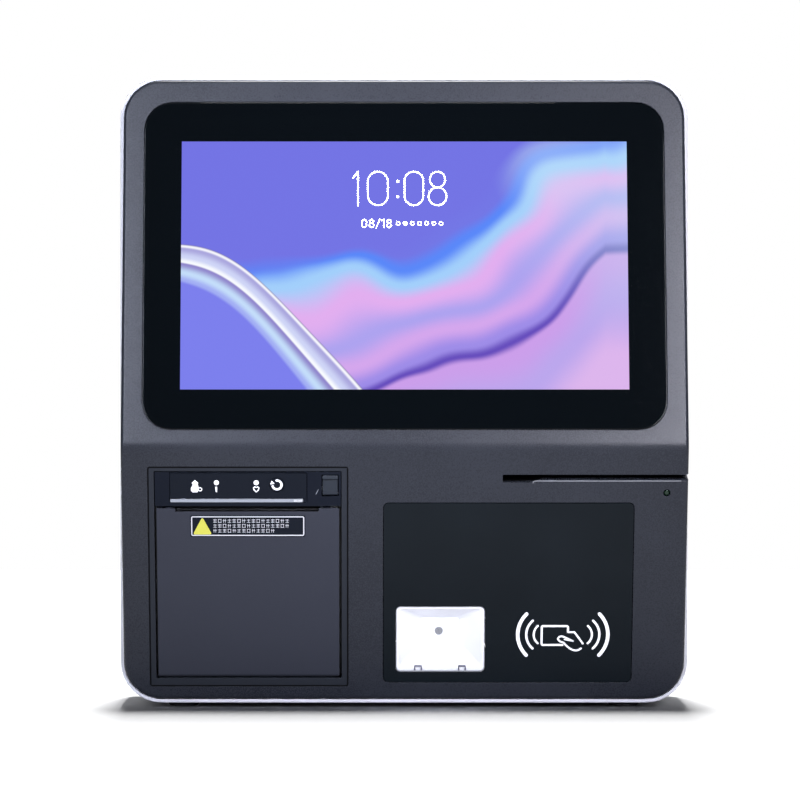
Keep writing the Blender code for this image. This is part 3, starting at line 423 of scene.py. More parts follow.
def moulded(name, colour, roughness, grain, depth, spread=0.12, specular=0.5):
    """Moulded or sprayed plastic: a fine raised grain, and colour and gloss that drift a little."""
    look = Finish(name, Specular_IOR_Level=specular)
    fine = look.noise(grain, 3.0)
    broad = look.noise(0.06, 2.0)
    tone = look.math("ADD", look.math("MULTIPLY", fine, 0.7), look.math("MULTIPLY", broad, 0.3))
    share = look.between(tone, 0.0, 1.0)
    look.set(Base_Color=look.mix(share, shade(colour, 1 - spread), shade(colour, 1 + spread)))
    look.set(Roughness=look.between(tone, roughness - 0.05, roughness + 0.05))
    look.bump(fine, depth)
    return look.material


def brushed(name, colour, roughness, lines, metallic=1.0):
    """Metal with fine lines along one axis, given as the stretch of the noise."""
    look = Finish(name, Metallic=metallic)
    line = look.noise(0.0012, 3.0, lines)
    broad = look.noise(0.03, 2.0)
    look.set(Base_Color=look.mix(look.between(line, 0.0, 1.0), shade(colour, 0.82), shade(colour, 1.08)))
    look.set(Roughness=look.between(broad, roughness - 0.06, roughness + 0.08))
    look.bump(line, 0.00001)
    return look.material


def gloss(name, colour, roughness, specular):
    """A polished surface, with the faint waves and dust that a clean one still has."""
    look = Finish(name, Specular_IOR_Level=specular)
    broad = look.noise(0.05, 2.0)
    specks = look.noise(0.0006, 1.0)
    look.set(Base_Color=look.mix(look.between(broad, 0.0, 1.0), shade(colour, 0.9), shade(colour, 1.1)))
    dusty = look.between(specks, roughness, roughness + 0.12, (0.68, 0.8))
    look.set(Roughness=look.math("ADD", dusty, look.between(broad, 0.0, 0.02)))
    look.bump(broad, 0.00002, 0.3)
    return look.material


def printed(name, colour, strength=0.0):
    """Flat ink with a slightly uneven coat."""
    look = Finish(name)
    uneven = look.noise(0.0015, 2.0)
    tone = look.mix(look.between(uneven, 0.0, 1.0), shade(colour, 0.93), colour)
    look.set(Base_Color=tone, Roughness=look.between(uneven, 0.4, 0.55))
    if strength:
        look.set(Emission_Color=tone, Emission_Strength=strength)
    look.bump(uneven, 0.00001, 0.4)
    return look.material


def circuit_board(name):
    """Green solder mask with copper tracks under it and small pads."""
    look = Finish(name)
    cells = look.node("ShaderNodeTexVoronoi", {"Vector": look.place, "Scale": 240.0}, distance="MANHATTAN")
    bricks = {"Vector": look.place, "Scale": 180.0, "Mortar Size": 0.06, "Brick Width": 1.7}
    tracks = look.node("ShaderNodeTexBrick", bricks)
    track = look.between(tracks.outputs["Fac"], 0.0, 1.0, (0.2, 0.8))
    pads = look.between(cells.outputs["Distance"], 1.0, 0.0, (0.1, 0.16))
    mask = look.mix(track, (0.012, 0.11, 0.045), (0.03, 0.2, 0.08))
    look.set(Base_Color=look.mix(pads, mask, (0.75, 0.68, 0.45)))
    look.set(Metallic=look.math("MULTIPLY", pads, 0.8))
    look.set(Roughness=look.between(look.noise(0.01), 0.3, 0.45))
    look.bump(look.math("ADD", track, pads), 0.00003)
    return look.material


def wound_paper():
    """The roll: its end faces show the layers as fine rings about its axis."""
    look = Finish("paper", Roughness=0.9)
    _, y, z = box_in("paper_roll", UPRIGHT)
    centre = (0.0, middle(y) * MM, middle(z) * MM)
    off = look.vector("SUBTRACT", look.vector("MULTIPLY", look.place, (0, 1, 1)), centre)
    radius = look.node("ShaderNodeVectorMath", {0: off}, operation="LENGTH").outputs["Value"]
    rings = look.math("SINE", look.math("MULTIPLY", radius, PAPER_RINGS))
    fibre = look.noise(0.0009, 4.0)
    tone = look.math("ADD", look.math("MULTIPLY", rings, 0.25), fibre)
    share = look.between(tone, 0.0, 1.0, (0.1, 0.9))
    look.set(Base_Color=look.mix(share, (0.7, 0.7, 0.68), (0.9, 0.9, 0.88)))
    look.bump(tone, 0.00004)
    return look.material


def card_tube():
    look = Finish("card", Roughness=0.92)
    fibre = look.noise(0.0007, 4.0, (0.4, 1, 1))
    look.set(Base_Color=look.mix(look.between(fibre, 0, 1), (0.3, 0.23, 0.15), (0.52, 0.42, 0.3)))
    look.bump(fibre, 0.00005)
    return look.material


# The screen's picture: its width over its height, how far behind the glass's face it still shows, in
# millimetres, the plain colour at its upper left, and the colours (share, colour) across its folds and
# across the ribbon.
SCREEN_SHAPE = 1.78
PICTURE_DEPTH = 0.3
SKY_COLOUR = (0.17, 0.17, 0.77)
FOLD_COLOURS = (
    (0.0, (0.17, 0.18, 0.78)),
    (0.06, (0.1, 0.24, 0.94)),
    (0.13, (0.36, 0.62, 0.96)),
    (0.22, (0.76, 0.42, 0.86)),
    (0.34, (0.42, 0.36, 0.86)),
    (0.44, (0.66, 0.38, 0.84)),
    (0.54, (0.34, 0.26, 0.8)),
    (0.585, (0.13, 0.07, 0.5)),
    (0.62, (0.6, 0.34, 0.82)),
    (0.8, (0.5, 0.38, 0.84)),
    (1.0, (0.72, 0.46, 0.84)),
)
RIBBON_COLOURS = (
    (0.0, (0.1, 0.08, 0.3)),
    (0.06, (0.95, 0.95, 1.0)),
    (0.12, (0.4, 0.38, 0.72)),
    (0.32, (0.62, 0.66, 0.92)),
    (0.45, (0.95, 0.97, 1.0)),
    (0.5, (0.28, 0.24, 0.6)),
    (0.72, (0.55, 0.72, 0.95)),
    (0.9, (0.36, 0.42, 0.9)),
    (1.0, (0.2, 0.21, 0.84)),
)


def screen_glass():
    """Cover glass: a black printed border, and the lit picture behind it.

    The picture is an abstract one, of soft folds of light from violet over pink to pale blue, with a
    clear ribbon across its lower left.
    """
    look = Finish("screen_glass", Specular_IOR_Level=0.35)
    place, spin, scale = UPPER.inverted().decompose()
    mapped = look.node("ShaderNodeMapping", {"Vector": look.place})
    mapped.inputs["Location"].default_value = place
    mapped.inputs["Rotation"].default_value = spin.to_euler()
    mapped.inputs["Scale"].default_value = scale
    parts = look.node("ShaderNodeSeparateXYZ", {0: mapped.outputs[0]})
    across = look.between(parts.outputs[0], 0.0, 1.0, DISPLAY_X)
    up = look.between(parts.outputs[2], 0.0, 1.0, DISPLAY_Z)
    colour = wallpaper(look, across, up)
    in_width = inside(look, parts.outputs[0], DISPLAY_X)
    in_height = inside(look, parts.outputs[2], DISPLAY_Z)
    lit = look.math("MULTIPLY", in_width, in_height)
    lit = look.math("MULTIPLY", lit, look.math("LESS_THAN", parts.outputs[1], PICTURE_DEPTH))
    look.set(Base_Color=(0.0008, 0.0014, 0.002))
    look.set(Emission_Color=look.mix(lit, (0, 0, 0), colour), Emission_Strength=1.0)
    specks = look.noise(0.0007, 1.0)
    look.set(Roughness=look.between(specks, 0.03, 0.12, (0.68, 0.8)))
    return look.material


def inside(look, value, span):
    """1 where a value lies in a span, else 0."""
    after = look.math("GREATER_THAN", value, span[0])
    return look.math("MULTIPLY", after, look.math("LESS_THAN", value, span[1]))


def wallpaper(look, across, up):
    """The screen's picture, from places across and up it between 0 and 1."""
    wide = look.math("MULTIPLY", across, SCREEN_SHAPE)
    flat = look.node("ShaderNodeCombineXYZ", {0: wide, 1: up}).outputs[0]
    swirl = look.node("ShaderNodeTexNoise", {"Vector": flat, "Scale": 1.6, "Detail": 1.2}).outputs[0]
    rise = look.math("POWER", look.between(across, 0.0, 1.0, (0.3, 0.95)), 1.5)
    edge = look.math("ADD", look.math("MULTIPLY", rise, 0.62), 0.5)
    bend = look.math("MULTIPLY", look.math("SUBTRACT", swirl, 0.5), 0.5)
    below = look.math("SUBTRACT", look.math("ADD", edge, bend), up)
    twist = look.math("MULTIPLY", look.math("SINE", look.math("MULTIPLY", across, 7.0)), 0.05)
    folds = look.ramp(look.math("ADD", below, twist), FOLD_COLOURS)
    light = look.between(look.math("ADD", across, bend), 0.0, 0.75, (0.72, 1.15))
    glow = look.math("MULTIPLY", light, look.between(up, 0.0, 1.0, (0.2, 0.8)))
    folds = look.mix(glow, folds, (0.6, 0.8, 0.95))
    covered = look.between(below, 0.0, 1.0, (-0.02, 0.04))
    base = look.mix(covered, SKY_COLOUR, folds)
    return ribbon(look, across, up, base)


def ribbon(look, across, up, base):
    """A clear ribbon that falls from the left edge to the bottom, laid over a picture."""
    slope = look.math("MULTIPLY", across, 0.42)
    bow = look.math("MULTIPLY", look.math("POWER", across, 2), 2.5)
    curve = look.math("ADD", slope, bow)
    wave = look.math("MULTIPLY", look.math("SINE", look.math("MULTIPLY", across, 16.0)), 0.02)
    top = look.math("ADD", look.math("SUBTRACT", 0.585, curve), wave)
    depth = look.math("SUBTRACT", top, up)
    width = look.between(across, 0.16, 0.3, (0.0, 0.4))
    share = look.math("DIVIDE", depth, width)
    body = look.ramp(share, RIBBON_COLOURS)
    covered = look.between(share, 0.0, 1.0, (0.0, 0.03))
    return look.mix(covered, base, body)


def hood_white_painted_glow():
    """The scanner's hood: white, with a faint painted glow."""
    look = Finish("white_plastic")
    fine = look.noise(0.0006, 2.0)
    broad = look.noise(0.02, 1.0)
    tone = look.mix(look.between(broad, 0, 1), (0.56, 0.56, 0.59), (0.6, 0.6, 0.62))
    look.set(Base_Color=tone, Roughness=look.between(fine, 0.35, 0.5))
    # The hood is no lamp: this emission is a painted glow.
    look.set(Emission_Color=tone, Emission_Strength=0.02)
    look.bump(fine, 0.00002, 0.5)
    return look.material


def clear_pane():
    look = Finish("clear", Alpha=0.1, Specular_IOR_Level=0.25)
    specks = look.noise(0.0006, 1.0)
    look.set(Base_Color=look.mix(look.between(specks, 0, 1), (0.85, 0.87, 0.92), (0.95, 0.96, 0.98)))
    look.set(Roughness=look.between(specks, 0.03, 0.14, (0.66, 0.8)))
    return look.material


def rubber():
    look = Finish("rubber", Specular_IOR_Level=0.35)
    fine = look.noise(0.0005, 4.0)
    look.set(Base_Color=look.mix(look.between(fine, 0, 1), (0.012, 0.012, 0.013), (0.035, 0.035, 0.037)))
    look.set(Roughness=look.between(fine, 0.75, 0.95))
    look.bump(fine, 0.00006)
    return look.material


# Moulded parts: colour, roughness, size and depth of the grain, spread of the colour and specular level.
PLASTICS = {
    "dark_case": ((0.0135, 0.015, 0.0195), 0.28, 0.0007, 0.00003, 0.3, 0.12),
    "silver_case": ((0.42, 0.42, 0.45), 0.55, 0.0006, 0.00001, 0.06),
    "printer_grey": ((0.0185, 0.0202, 0.0272), 0.5, 0.0005, 0.00002, 0.08, 0.08),
    "head_grey": ((0.0045, 0.0057, 0.0092), 0.5, 0.0005, 0.00002, 0.08, 0.03),
    "bezel_grey": ((0.011, 0.0128, 0.0168), 0.5, 0.0005, 0.00002, 0.08, 0.09),
    # A darker copy of the printer's grey, which paints the shade of the release key's recess.
    "key_grey_painted_shade": ((0.0135, 0.0165, 0.0215), 0.5, 0.0005, 0.00002, 0.08, 0.1),
    # Near black: it also paints shade in the card slot, the paper slot and the gap round the printer.
    "black_and_painted_shade": ((0.0012, 0.0012, 0.0015), 0.8, 0.0005, 0.00002, 0.1, 0.05),
    "overlay": ((0.0048, 0.0061, 0.0092), 0.4, 0.0004, 0.00001, 0.08, 0.035),
    "black_plastic": ((0.018, 0.018, 0.02), 0.5, 0.0005, 0.00003),
    "gear_white": ((0.76, 0.75, 0.7), 0.42, 0.0006, 0.00001, 0.05),
    "grey_clip": ((0.045, 0.045, 0.07), 0.5, 0.0006, 0.00001),
    # A pale grey that paints the card slot lip's highlight.
    "painted_highlight_grey": ((0.17, 0.175, 0.19), 0.45, 0.0006, 0.00001),
    "cone": ((0.03, 0.03, 0.033), 0.8, 0.0008, 0.00008),
    "key_blue": ((0.02, 0.09, 0.32), 0.45, 0.0005, 0.00001),
}

# Polished parts: colour, roughness and specular level.
POLISHED = {
    "black_gloss": ((0.004, 0.0056, 0.0072), 0.09, 0.06),
    "screen": ((0.12, 0.12, 0.14), 0.2, 0.5),
    "led_green": ((0.003, 0.012, 0.006), 0.12, 0.3),
}

# Metals: colour, roughness, how their lines stretch the noise, and how metallic they are.
METALS = {
    "steel": ((0.56, 0.57, 0.59), 0.32, (1, 12, 12)),
    "aluminium": ((0.7, 0.71, 0.74), 0.38, (25, 1, 1)),
    "brass": ((0.66, 0.5, 0.2), 0.3, (1, 10, 10)),
    "gold": ((0.8, 0.62, 0.28), 0.25, (1, 8, 8)),
    "bar": ((0.21, 0.225, 0.255), 0.5, (2, 30, 30), 0.5),
}

# Inks: colour, and how brightly they glow.
INKS = {
    "white_ink": ((0.72, 0.72, 0.74),),
    "label_ink": ((0.36, 0.36, 0.38),),
    "yellow_ink": ((0.34, 0.33, 0.03),),
    "screen_ink": ((0.95, 0.95, 1.0), 0.9),
}


def make_looks():
    """Every material: those of the record's slots, and a few for single nodes and added pieces."""
    looks = {name: moulded(name, *values) for name, values in PLASTICS.items()}
    looks |= {name: gloss(name, *values) for name, values in POLISHED.items()}
    looks |= {name: brushed(name, *values) for name, values in METALS.items()}
    looks |= {name: printed(name, *values) for name, values in INKS.items()}
    looks["black_glass"] = screen_glass()
    looks["board_green"] = circuit_board("board_green")
    looks["white_plastic"] = hood_white_painted_glow()
    looks["clear"] = clear_pane()
    looks["rubber"] = rubber()
    looks["paper"] = wound_paper()
    looks["card"] = card_tube()
    return looks


# --- Carried-over CAD nodes ---

# How far each node's sharp edges are rounded, in millimetres.
SOFT_EDGES = {
    "front_cover": 0.35,
    "rear_shell": 0.15,
    "touch_glass": 0.25,
    "printer_bezel": 0.25,
    "head_cover": 0.25,
    "printer_door": 0.25,
    "release_button": 0.2,
    "keypad_overlay": 0.08,
    "tear_bar": 0.12,
    "feed_button": 0.08,
    "reader_window": 0.2,
    "scan_window": 0.1,
    "card_channel": 0.15,
    "power_button": 0.15,
    "io_plate": 0.1,
}
OTHER_EDGES = 0.1

# Nodes whose notched front faces shade wrongly once their triangles are joined.
KEEP_TRIANGLES = {"head_cover"}

# Nodes that take another material than their slot's.
OWN_LOOKS = {
    "tear_bar": "bar",
    "head_cover": "head_grey",
    "printer_bezel": "bezel_grey",
    "door_hinge_pin": "black_and_painted_shade",
    # A darker grey for the release key paints the shade of its recess.
    "release_button": "key_grey_painted_shade",
    # Near black in the card slot paints its shade, and hides the read head's glint.
    "card_channel": "black_and_painted_shade",
    "card_head": "black_and_painted_shade",
}


def finish_nodes(looks):
    """Gives each CAD node its slot's material, and rounds its edges."""
    slots = {part["node"]: part["material_slot"] for part in frame["record"]["subparts"]}
    for name, node in NODES.items():
        look = looks[OWN_LOOKS.get(name, slots[name])]
        node.data.materials.clear()
        node.data.materials.append(look)
        join_triangles(node, name not in KEEP_TRIANGLES)
        soften(node, SOFT_EDGES.get(name, OTHER_EDGES))


# --- Screen ---

# The clock's figures (sign, left edge, width), and the date's (sign, width) from its left edge.
CLOCK_FIGURES = (
    ("1", -29.5, 3.6),
    ("0", -21.4, 12.4),
    (":", -4.6, 1.7),
    ("0", -0.3, 11.6),
    ("8", 13.5, 11.2),
)
CLOCK_LINE = 0.85
DATE_FIGURES = (("0", 3.2), ("8", 3.2), ("/", 2.2), ("1", 1.6), ("8", 3.2))
DATE_LEFT = -24.6
DATE_LINE = 0.62
DATE_GAP = 1.0

# The week's dots, each a ring but for the one of the day.
DAYS = 7
TODAY = 1
DAY_STEP = 4.1


def digit(shape, glyph, left, low, high, width, line, span):
    """Adds one figure of a clock, drawn with one line width."""
    tall = high - low
    centre = left + width / 2
    if glyph == "0":
        x = (left + line / 2, left + width - line / 2)
        outline = rounded(x, (low + line / 2, high - line / 2), (x[1] - x[0]) / 2 - 0.01, 10)
        shape.stroke(outline, line, span, True)
    elif glyph == "1":
        stem = left + 0.8 * width
        shape.stroke([(left, high - 0.2 * tall), (stem, high - line / 2)], line, span)
        stem_left, stem_right = stem - line / 2, stem + line / 2
        shape.slab([(stem_left, low), (stem_right, low), (stem_right, high), (stem_left, high)], span)
    elif glyph == "8":
        waist = low + 0.53 * tall
        upper = (high - line / 2 - waist) / 2
        lower = (waist - low - line / 2) / 2
        shape.stroke(ellipse((centre, waist + upper), (0.43 * width - line / 2, upper)), line, span, True)
        shape.stroke(ellipse((centre, waist - lower), ((width - line) / 2, lower)), line, span, True)
    elif glyph == ":":
        for share in (0.26, 0.7):
            shape.slab(circle((centre, low + share * tall), width / 2, 16), span)
    elif glyph == "/":
        shape.stroke([(left, low), (left + width, high)], line, span)


def make_clock(looks):
    """The time, thin and large, with a small date and a week of dots under it."""
    span = ink_before((0, 0))
    time = Shape()
    low, high = CLOCK_Z
    for glyph, left, width in CLOCK_FIGURES:
        digit(time, glyph, left, low, high, width, CLOCK_LINE, span)
    add_piece("clock_time", "case", looks["screen_ink"], time, UPPER)
    date = Shape()
    low, high = DATE_Z
    left = DATE_LEFT
    for glyph, width in DATE_FIGURES:
        digit(date, glyph, left, low, high, width, DATE_LINE, span)
        left += width + DATE_GAP
    for day in range(DAYS):
        centre = (left + 2.6 + day * DAY_STEP, middle(DATE_Z))
        if day == TODAY:
            date.slab(circle(centre, 1.3, 20), span)
        else:
            date.stroke(circle(centre, 1.05, 20), 0.5, span, True)
    add_piece("clock_date", "case", looks["screen_ink"], date, UPPER)


# --- Printer ---

# Where the three fixed key signs are, from the left end of their strip, and what they are drawn with.
SHEET_X = 14.2
ALERT_X = 26.4
CARE_X = 49.1
SIGN_DROP = 0.25
SHEET = [(0, 3.7), (1.9, 1.9), (1.5, 1.3), (1.7, 0.5), (2.2, -1.0), (2.1, -2.4), (1.3, -3.5), (-1.4, -3.5)]
SHEET += [(-2.3, -2.5), (-2.3, -1.0), (-1.3, 0.6), (-1.3, 1.4), (-1.9, 1.9)]
TAIL = [(-0.75, -0.3), (-0.35, -3.4), (0.35, -3.4), (0.4, -0.3)]
HEART = [(0, -0.75), (-0.8, -0.3), (-1.6, -0.9), (-1.2, -2.2), (0, -3.3)]
HEART += [(1.2, -2.2), (1.6, -0.9), (0.8, -0.3)]
ARROW_HEAD = [(-3.9, 0.3), (-1.35, 0.7), (-3.05, 2.5)]


def make_key_signs(looks):
    """The three signs above the paper slot that don't move."""
    x, y, z = box_in("keypad_overlay", LOWER)
    span = ink_before(y)
    level = middle(z) - SIGN_DROP
    sheet, alert, care = (x[0] + place for place in (SHEET_X, ALERT_X, CARE_X))
    signs = Shape()
    signs.slab(moved(SHEET, (sheet, level)), span)
    signs.stroke(circle((sheet + 2.9, level - 1.8), 0.95, 16), 0.45, span, True)
    signs.slab(circle((alert, level + 2.1), 1.45, 20), span)
    signs.slab(moved(TAIL, (alert, level)), span)
    signs.slab(circle((care, level + 2.1), 1.45, 20), span)
    signs.stroke(moved(HEART, (care, level)), 0.6, span, True)
    add_piece("key_signs", "case", looks["white_ink"], signs, LOWER)


def make_feed_sign(looks):
    """The round arrow on the feed key, which moves with it."""
    x, y, z = box_in("feed_button", LOWER)
    centre = (middle(x), middle(z))
    turn = Shape()
    turn.stroke(arc(centre, 2.6, 95, -165, 24), 1.2, ink_before(y))
    turn.slab(moved(ARROW_HEAD, centre), ink_before(y))
    add_piece("feed_sign", "feed_key", looks["white_ink"], turn, LOWER)


# The label: its size, its place from the door's upper left corner, and the room that one mark takes.
LABEL_SIZE = (64.6, 11.5)
LABEL_PLACE = (19.8, 4.7)
MARK_STEP = (2.75, 2.9)
MARK_LINE = 0.24

# How far each row of marks runs.
MARK_ROWS = (44.0, 44.0, 36.0)

# The four marks: the levels of their bars across, and the places of their bars up.
MARKS = (
    ((-0.8, 0.0, 0.8), (0.8,)),
    ((-0.9, 0.9), (0.1, 1.6)),
    ((0.3,), (0.3, 1.3)),
    ((-0.8, 0.5), (0.9,)),
)


def make_slot_label(looks):
    """A printed plate on the door: a frame, a plain yellow triangle and rows of plain marks."""
    x, y, z = box_in("printer_door", LOWER)
    left = x[0] + LABEL_PLACE[0]
    right = left + LABEL_SIZE[0]
    top = z[1] - LABEL_PLACE[1]
    low = top - LABEL_SIZE[1]
    film = (y[0] - 0.06, y[0] - 0.01)
    span = ink_before(film)
    backing = Shape().slab(rounded((left - 0.6, right + 0.6), (low - 0.6, top + 0.6), 0.8), film)
    add_piece("label_film", "door", looks["overlay"], backing, LOWER)
    marks = Shape()
    border = rounded((left + 0.3, right - 0.3), (low + 0.3, top - 0.3), 0.7)
    marks.stroke(border, 0.62, span, True)
    for row, reach in enumerate(MARK_ROWS):
        level = top - 2.7 - MARK_STEP[1] * row
        for cell in range(int(reach / MARK_STEP[0])):
            kind = (cell * 5 + row * 3) % len(MARKS)
            mark(marks, (left + 12.6 + MARK_STEP[0] * cell, level), kind, span)
    add_piece("label_marks", "door", looks["label_ink"], marks, LOWER)
    triangle = []
    corners = ((left + 6.4, top - 1.9), (left + 2.1, low + 1.5), (left + 10.7, low + 1.5))
    for index, corner in enumerate(corners):
        triangle += arc(corner, 0.7, 30 + 120 * index, 150 + 120 * index, 5)
    add_piece("label_sign", "door", looks["yellow_ink"], Shape().slab(triangle, span), LOWER)


def mark(shape, place, kind, span):
    """A small plain mark, two millimetres across, of thin bars in one of four arrangements."""
    levels, columns = MARKS[kind]
    for level in levels:
        centre = place[1] + level
        thick = (centre - MARK_LINE / 2, centre + MARK_LINE / 2)
        shape.box((place[0], place[0] + 2.0), span, thick)
    raised = (span[0] - 0.01, span[1])
    for column in columns:
        left = place[0] + column
        shape.box((left, left + MARK_LINE), raised, (place[1] - 1.05, place[1] + 1.05))


def make_tear_bar_grip(looks):
    """Fine teeth at the right end of the pale bar, and a pale stroke beside the release that paints a
    highlight.
    """
    x, y, z = box_in("tear_bar", LOWER)
    teeth = Shape()
    for tooth in range(7):
        left = x[1] - 5.2 + tooth * 0.7
        teeth.box((left, left + 0.35), (y[0] - 0.12, y[0] + 0.2), (z[0] + 0.25, z[1] - 0.25))
    grip = add_piece("tear_bar_teeth", "case", looks["aluminium"], teeth, LOWER)
    soften(grip, 0.05)
    # A thin pale stroke on the head cover paints a highlight.
    x, _, z = box_in("release_button", LOWER)
    face = box_in("head_cover", LOWER)[1][0]
    slash = Shape()
    slash.stroke([(x[0] - 2.7, z[0] + 0.9), (x[0] - 1.3, z[0] + 3.5)], 0.3, (face - 0.1, face + 0.1))
    add_piece("head_painted_highlight", "case", looks["bar"], slash, LOWER)


def make_paper_slot_shade(looks):
    """A black strip along the door's edge of the paper slot, that paints the slot's shade."""
    _, y, z = box_in("printer_door", LOWER)
    level = z[1] - SLOT_DROP
    slot_shade = Shape().box(SLOT_X, (y[0] + 0.02, y[0] + 2.3), (level - 0.1, level + 0.25))
    piece = add_piece("slot_painted_shade", "door", looks["black_and_painted_shade"], slot_shade, LOWER)
    soften(piece, 0.08)


def make_bezel_gap_shade(looks):
    """A black strip in the gap between the printer and the case, that paints the gap's shade."""
    x, y, z = box_in("printer_bezel", LOWER)
    gap_shade = Shape()
    outline = rounded((x[0] - 0.15, x[1] + 0.15), (z[0] - 0.15, z[1] + 0.15), 0.8)
    gap_shade.stroke(outline, 0.85, (y[0] - 0.03, y[0] + 0.3), True)
    add_piece("printer_gap_shade", "case", looks["black_and_painted_shade"], gap_shade, LOWER)


# --- Readers ---

# The sign's waves: how far in from its outermost, half the height, the bulge and the line's width.
WAVES = ((0.9, 12.3, 5.0, 2.0), (5.8, 8.3, 3.7, 1.3), (10.1, 5.2, 2.4, 1.15))

# The hand's lines, from the right end of the card's middle.
BACK_OF_HAND = [(0.3, 1.4), (3.1, 1.4), (4.2, 0.8), (8.6, -5.3)]
PALM = [(-2.3, -5.1), (0.3, -7.6), (3.0, -9.2), (5.6, -9.4), (7.6, -8.3)]
THUMB = [(2.9, -3.9), (-2.6, -1.3), (-4.5, -1.2), (-5.7, -2.5), (-4.6, -4.0), (-2.2, -4.9)]
FINGER = [(2.9, -3.9), (-1.9, -2.9)]


def wave_arc(extreme, half, sag, side):
    """The radius, half angle and centre of a bulging arc, by its extreme x, half height and sagitta."""
    radius = (half * half + sag * sag) / (2 * sag)
    reach = math.degrees(math.asin(half / radius))
    return radius, reach, extreme - side * radius


def make_contactless_sign(looks):
    """Three waves each side of a card held by a simple hand, printed on the reader's panel."""
    x, y, z = box_in("reader_window", LOWER)
    span = ink_before(y)
    left_most = x[0] + 76.3
    right_most = x[1] - 12.8
    level = z[0] + 28.5
    sign = Shape()
    for inward, half, sag, line in WAVES:
        for side, edge in ((-1, left_most), (1, right_most)):
            radius, reach, centre = wave_arc(edge - side * inward, half, sag, side)
            facing = 0 if side > 0 else 180
            sign.stroke(arc((centre, level), radius, facing - reach, facing + reach), line, span)
    card_x = (left_most + 14.7, left_most + 29.8)
    card_z = (level - 6.2, level + 5.1)
    three_corners = rounded(card_x, card_z, 0.8)[: 3 * (CORNER_STEPS + 1)]
    path = [(card_x[1], level + 1.6), *three_corners, (card_x[1] - 3.1, card_z[0])]
    sign.stroke(path, 1.15, span)
    grip = (card_x[1], level)
    for points in (BACK_OF_HAND, PALM, THUMB):
        sign.stroke(smoothed(moved(points, grip)), 1.05, span)
    sign.stroke(moved(FINGER, grip), 0.8, span)
    add_piece("contactless_sign", "case", looks["white_ink"], sign, LOWER)


def make_scanner_details(looks):
    """The two clips at the pane's foot, and the ring of the lens."""
    x, y, z = box_in("scan_window", LOWER)
    front = y[0] - 0.02
    clips = Shape()
    for share in (0.25, 0.745):
        foot = (x[0] + share * (x[1] - x[0]), z[0] + 1.3)
        clips.stroke(moved([(-1.9, 0), (-1.9, 2.2), (1.9, 2.2), (1.9, 0)], foot), 1.0, (front - 0.12, front))
    add_piece("pane_clips", "case", looks["grey_clip"], clips, LOWER)
    x, y, z = box_in("scan_lens", LOWER)
    profile = [(1.7, 0.35), (2.0, 0.0), (2.35, 0.25), (2.35, 0.7), (1.7, 0.7)]
    ring = Shape().turned(profile, (middle(x), y[0], middle(z)), "Y", 32, True)
    add_piece("lens_ring", "case", looks["black_plastic"], ring, LOWER)


def make_card_slot_highlight(looks):
    """A pale strip that paints the highlight along the lower lip of the card slot, turned down at its inner
    end.
    """
    lip = Shape()
    level = CARD_HIGHLIGHT_Z
    path = arc((CARD_HIGHLIGHT_X[0] + 1.6, level - 1.6), 1.6, 165, 90, 6) + [(CARD_HIGHLIGHT_X[1], level)]
    lip.stroke(path, 0.4, (-0.12, 0.25))
    add_piece("card_lip_painted_highlight", "case", looks["painted_highlight_grey"], lip, LOWER)


# --- Back ---

# The sockets' contacts and inserts start this far behind the port's inner end.
SOCKET_START = 2.3


def make_lan_details(looks):
    """The contacts, the insert and the two lamps of the network socket."""
    x, y, z = box_in("lan_port", UPRIGHT)
    inner = y[0] + SOCKET_START
    pins = Shape()
    for pin in range(8):
        centre = middle(x) - 4.0 + pin * 1.1
        pins.box((centre - 0.2, centre + 0.2), (inner, y[1] - 2.6), (z[1] - 4.3, z[1] - 3.9))
    add_piece("lan_pins", "case", looks["gold"], pins, UPRIGHT)
    comb = Shape().box((x[0] + 2.2, x[1] - 2.2), (inner, y[1] - 1.2), (z[1] - 3.8, z[1] - 1.5))
    for side in (-1, 1):
        edge = middle(x) + side * 6.2
        comb.box(sorted((edge, edge - side * 1.2)), (inner, y[1] - 0.8), (z[0] + 1.5, z[0] + 5.5))
    insert = add_piece("lan_insert", "case", looks["black_plastic"], comb, UPRIGHT)
    soften(insert, 0.1)
    lamps = Shape()
    for side in (-1, 1):
        centre = middle(x) + side * 5.4
        lamps.box((centre - 1.1, centre + 1.1), (y[1] - 0.6, y[1] - 0.3), (z[1] - 1.15, z[1] - 0.15))
    soften(add_piece("lan_lamps", "case", looks["led_green"], lamps, UPRIGHT), 0.05)


def make_usb_details(looks, index):
    """The blue tongue of a USB socket, and its contacts."""
    x, y, z = box_in(f"usb_port_{index}", UPRIGHT)
    level = middle(z)
    depth = (y[0] + SOCKET_START, y[1] - 0.8)
    tongue = Shape().box((x[0] + 1.6, x[1] - 1.6), depth, (level + 0.2, level + 2.0))
    piece = add_piece(f"usb_tongue_{index}", "case", looks["key_blue"], tongue, UPRIGHT)
    soften(piece, 0.15)
    strips = Shape()
    for strip in range(4):
        left = x[0] + 3.1 + strip * 2.6
        strips.box((left, left + 1.0), (y[0] + 2.6, y[1] - 1.4), (level + 0.02, level + 0.18))
    add_piece(f"usb_contacts_{index}", "case", looks["gold"], strips, UPRIGHT)


def make_inlet_pin(looks):
    """The hollow pin in the middle of the power inlet."""
    x, y, z = box_in("dc_inlet", UPRIGHT)
    profile = [(0.96, -9.6), (1.2, -9.6), (1.2, -1.6), (0.9, -1.2), (0.3, -1.15), (0.3, -1.3), (0.96, -1.4)]
    pin = Shape().turned(profile, (middle(x), y[1] - 0.6, middle(z)), "Y", 20, True)
    add_piece("inlet_pin", "case", looks["steel"], pin, UPRIGHT)


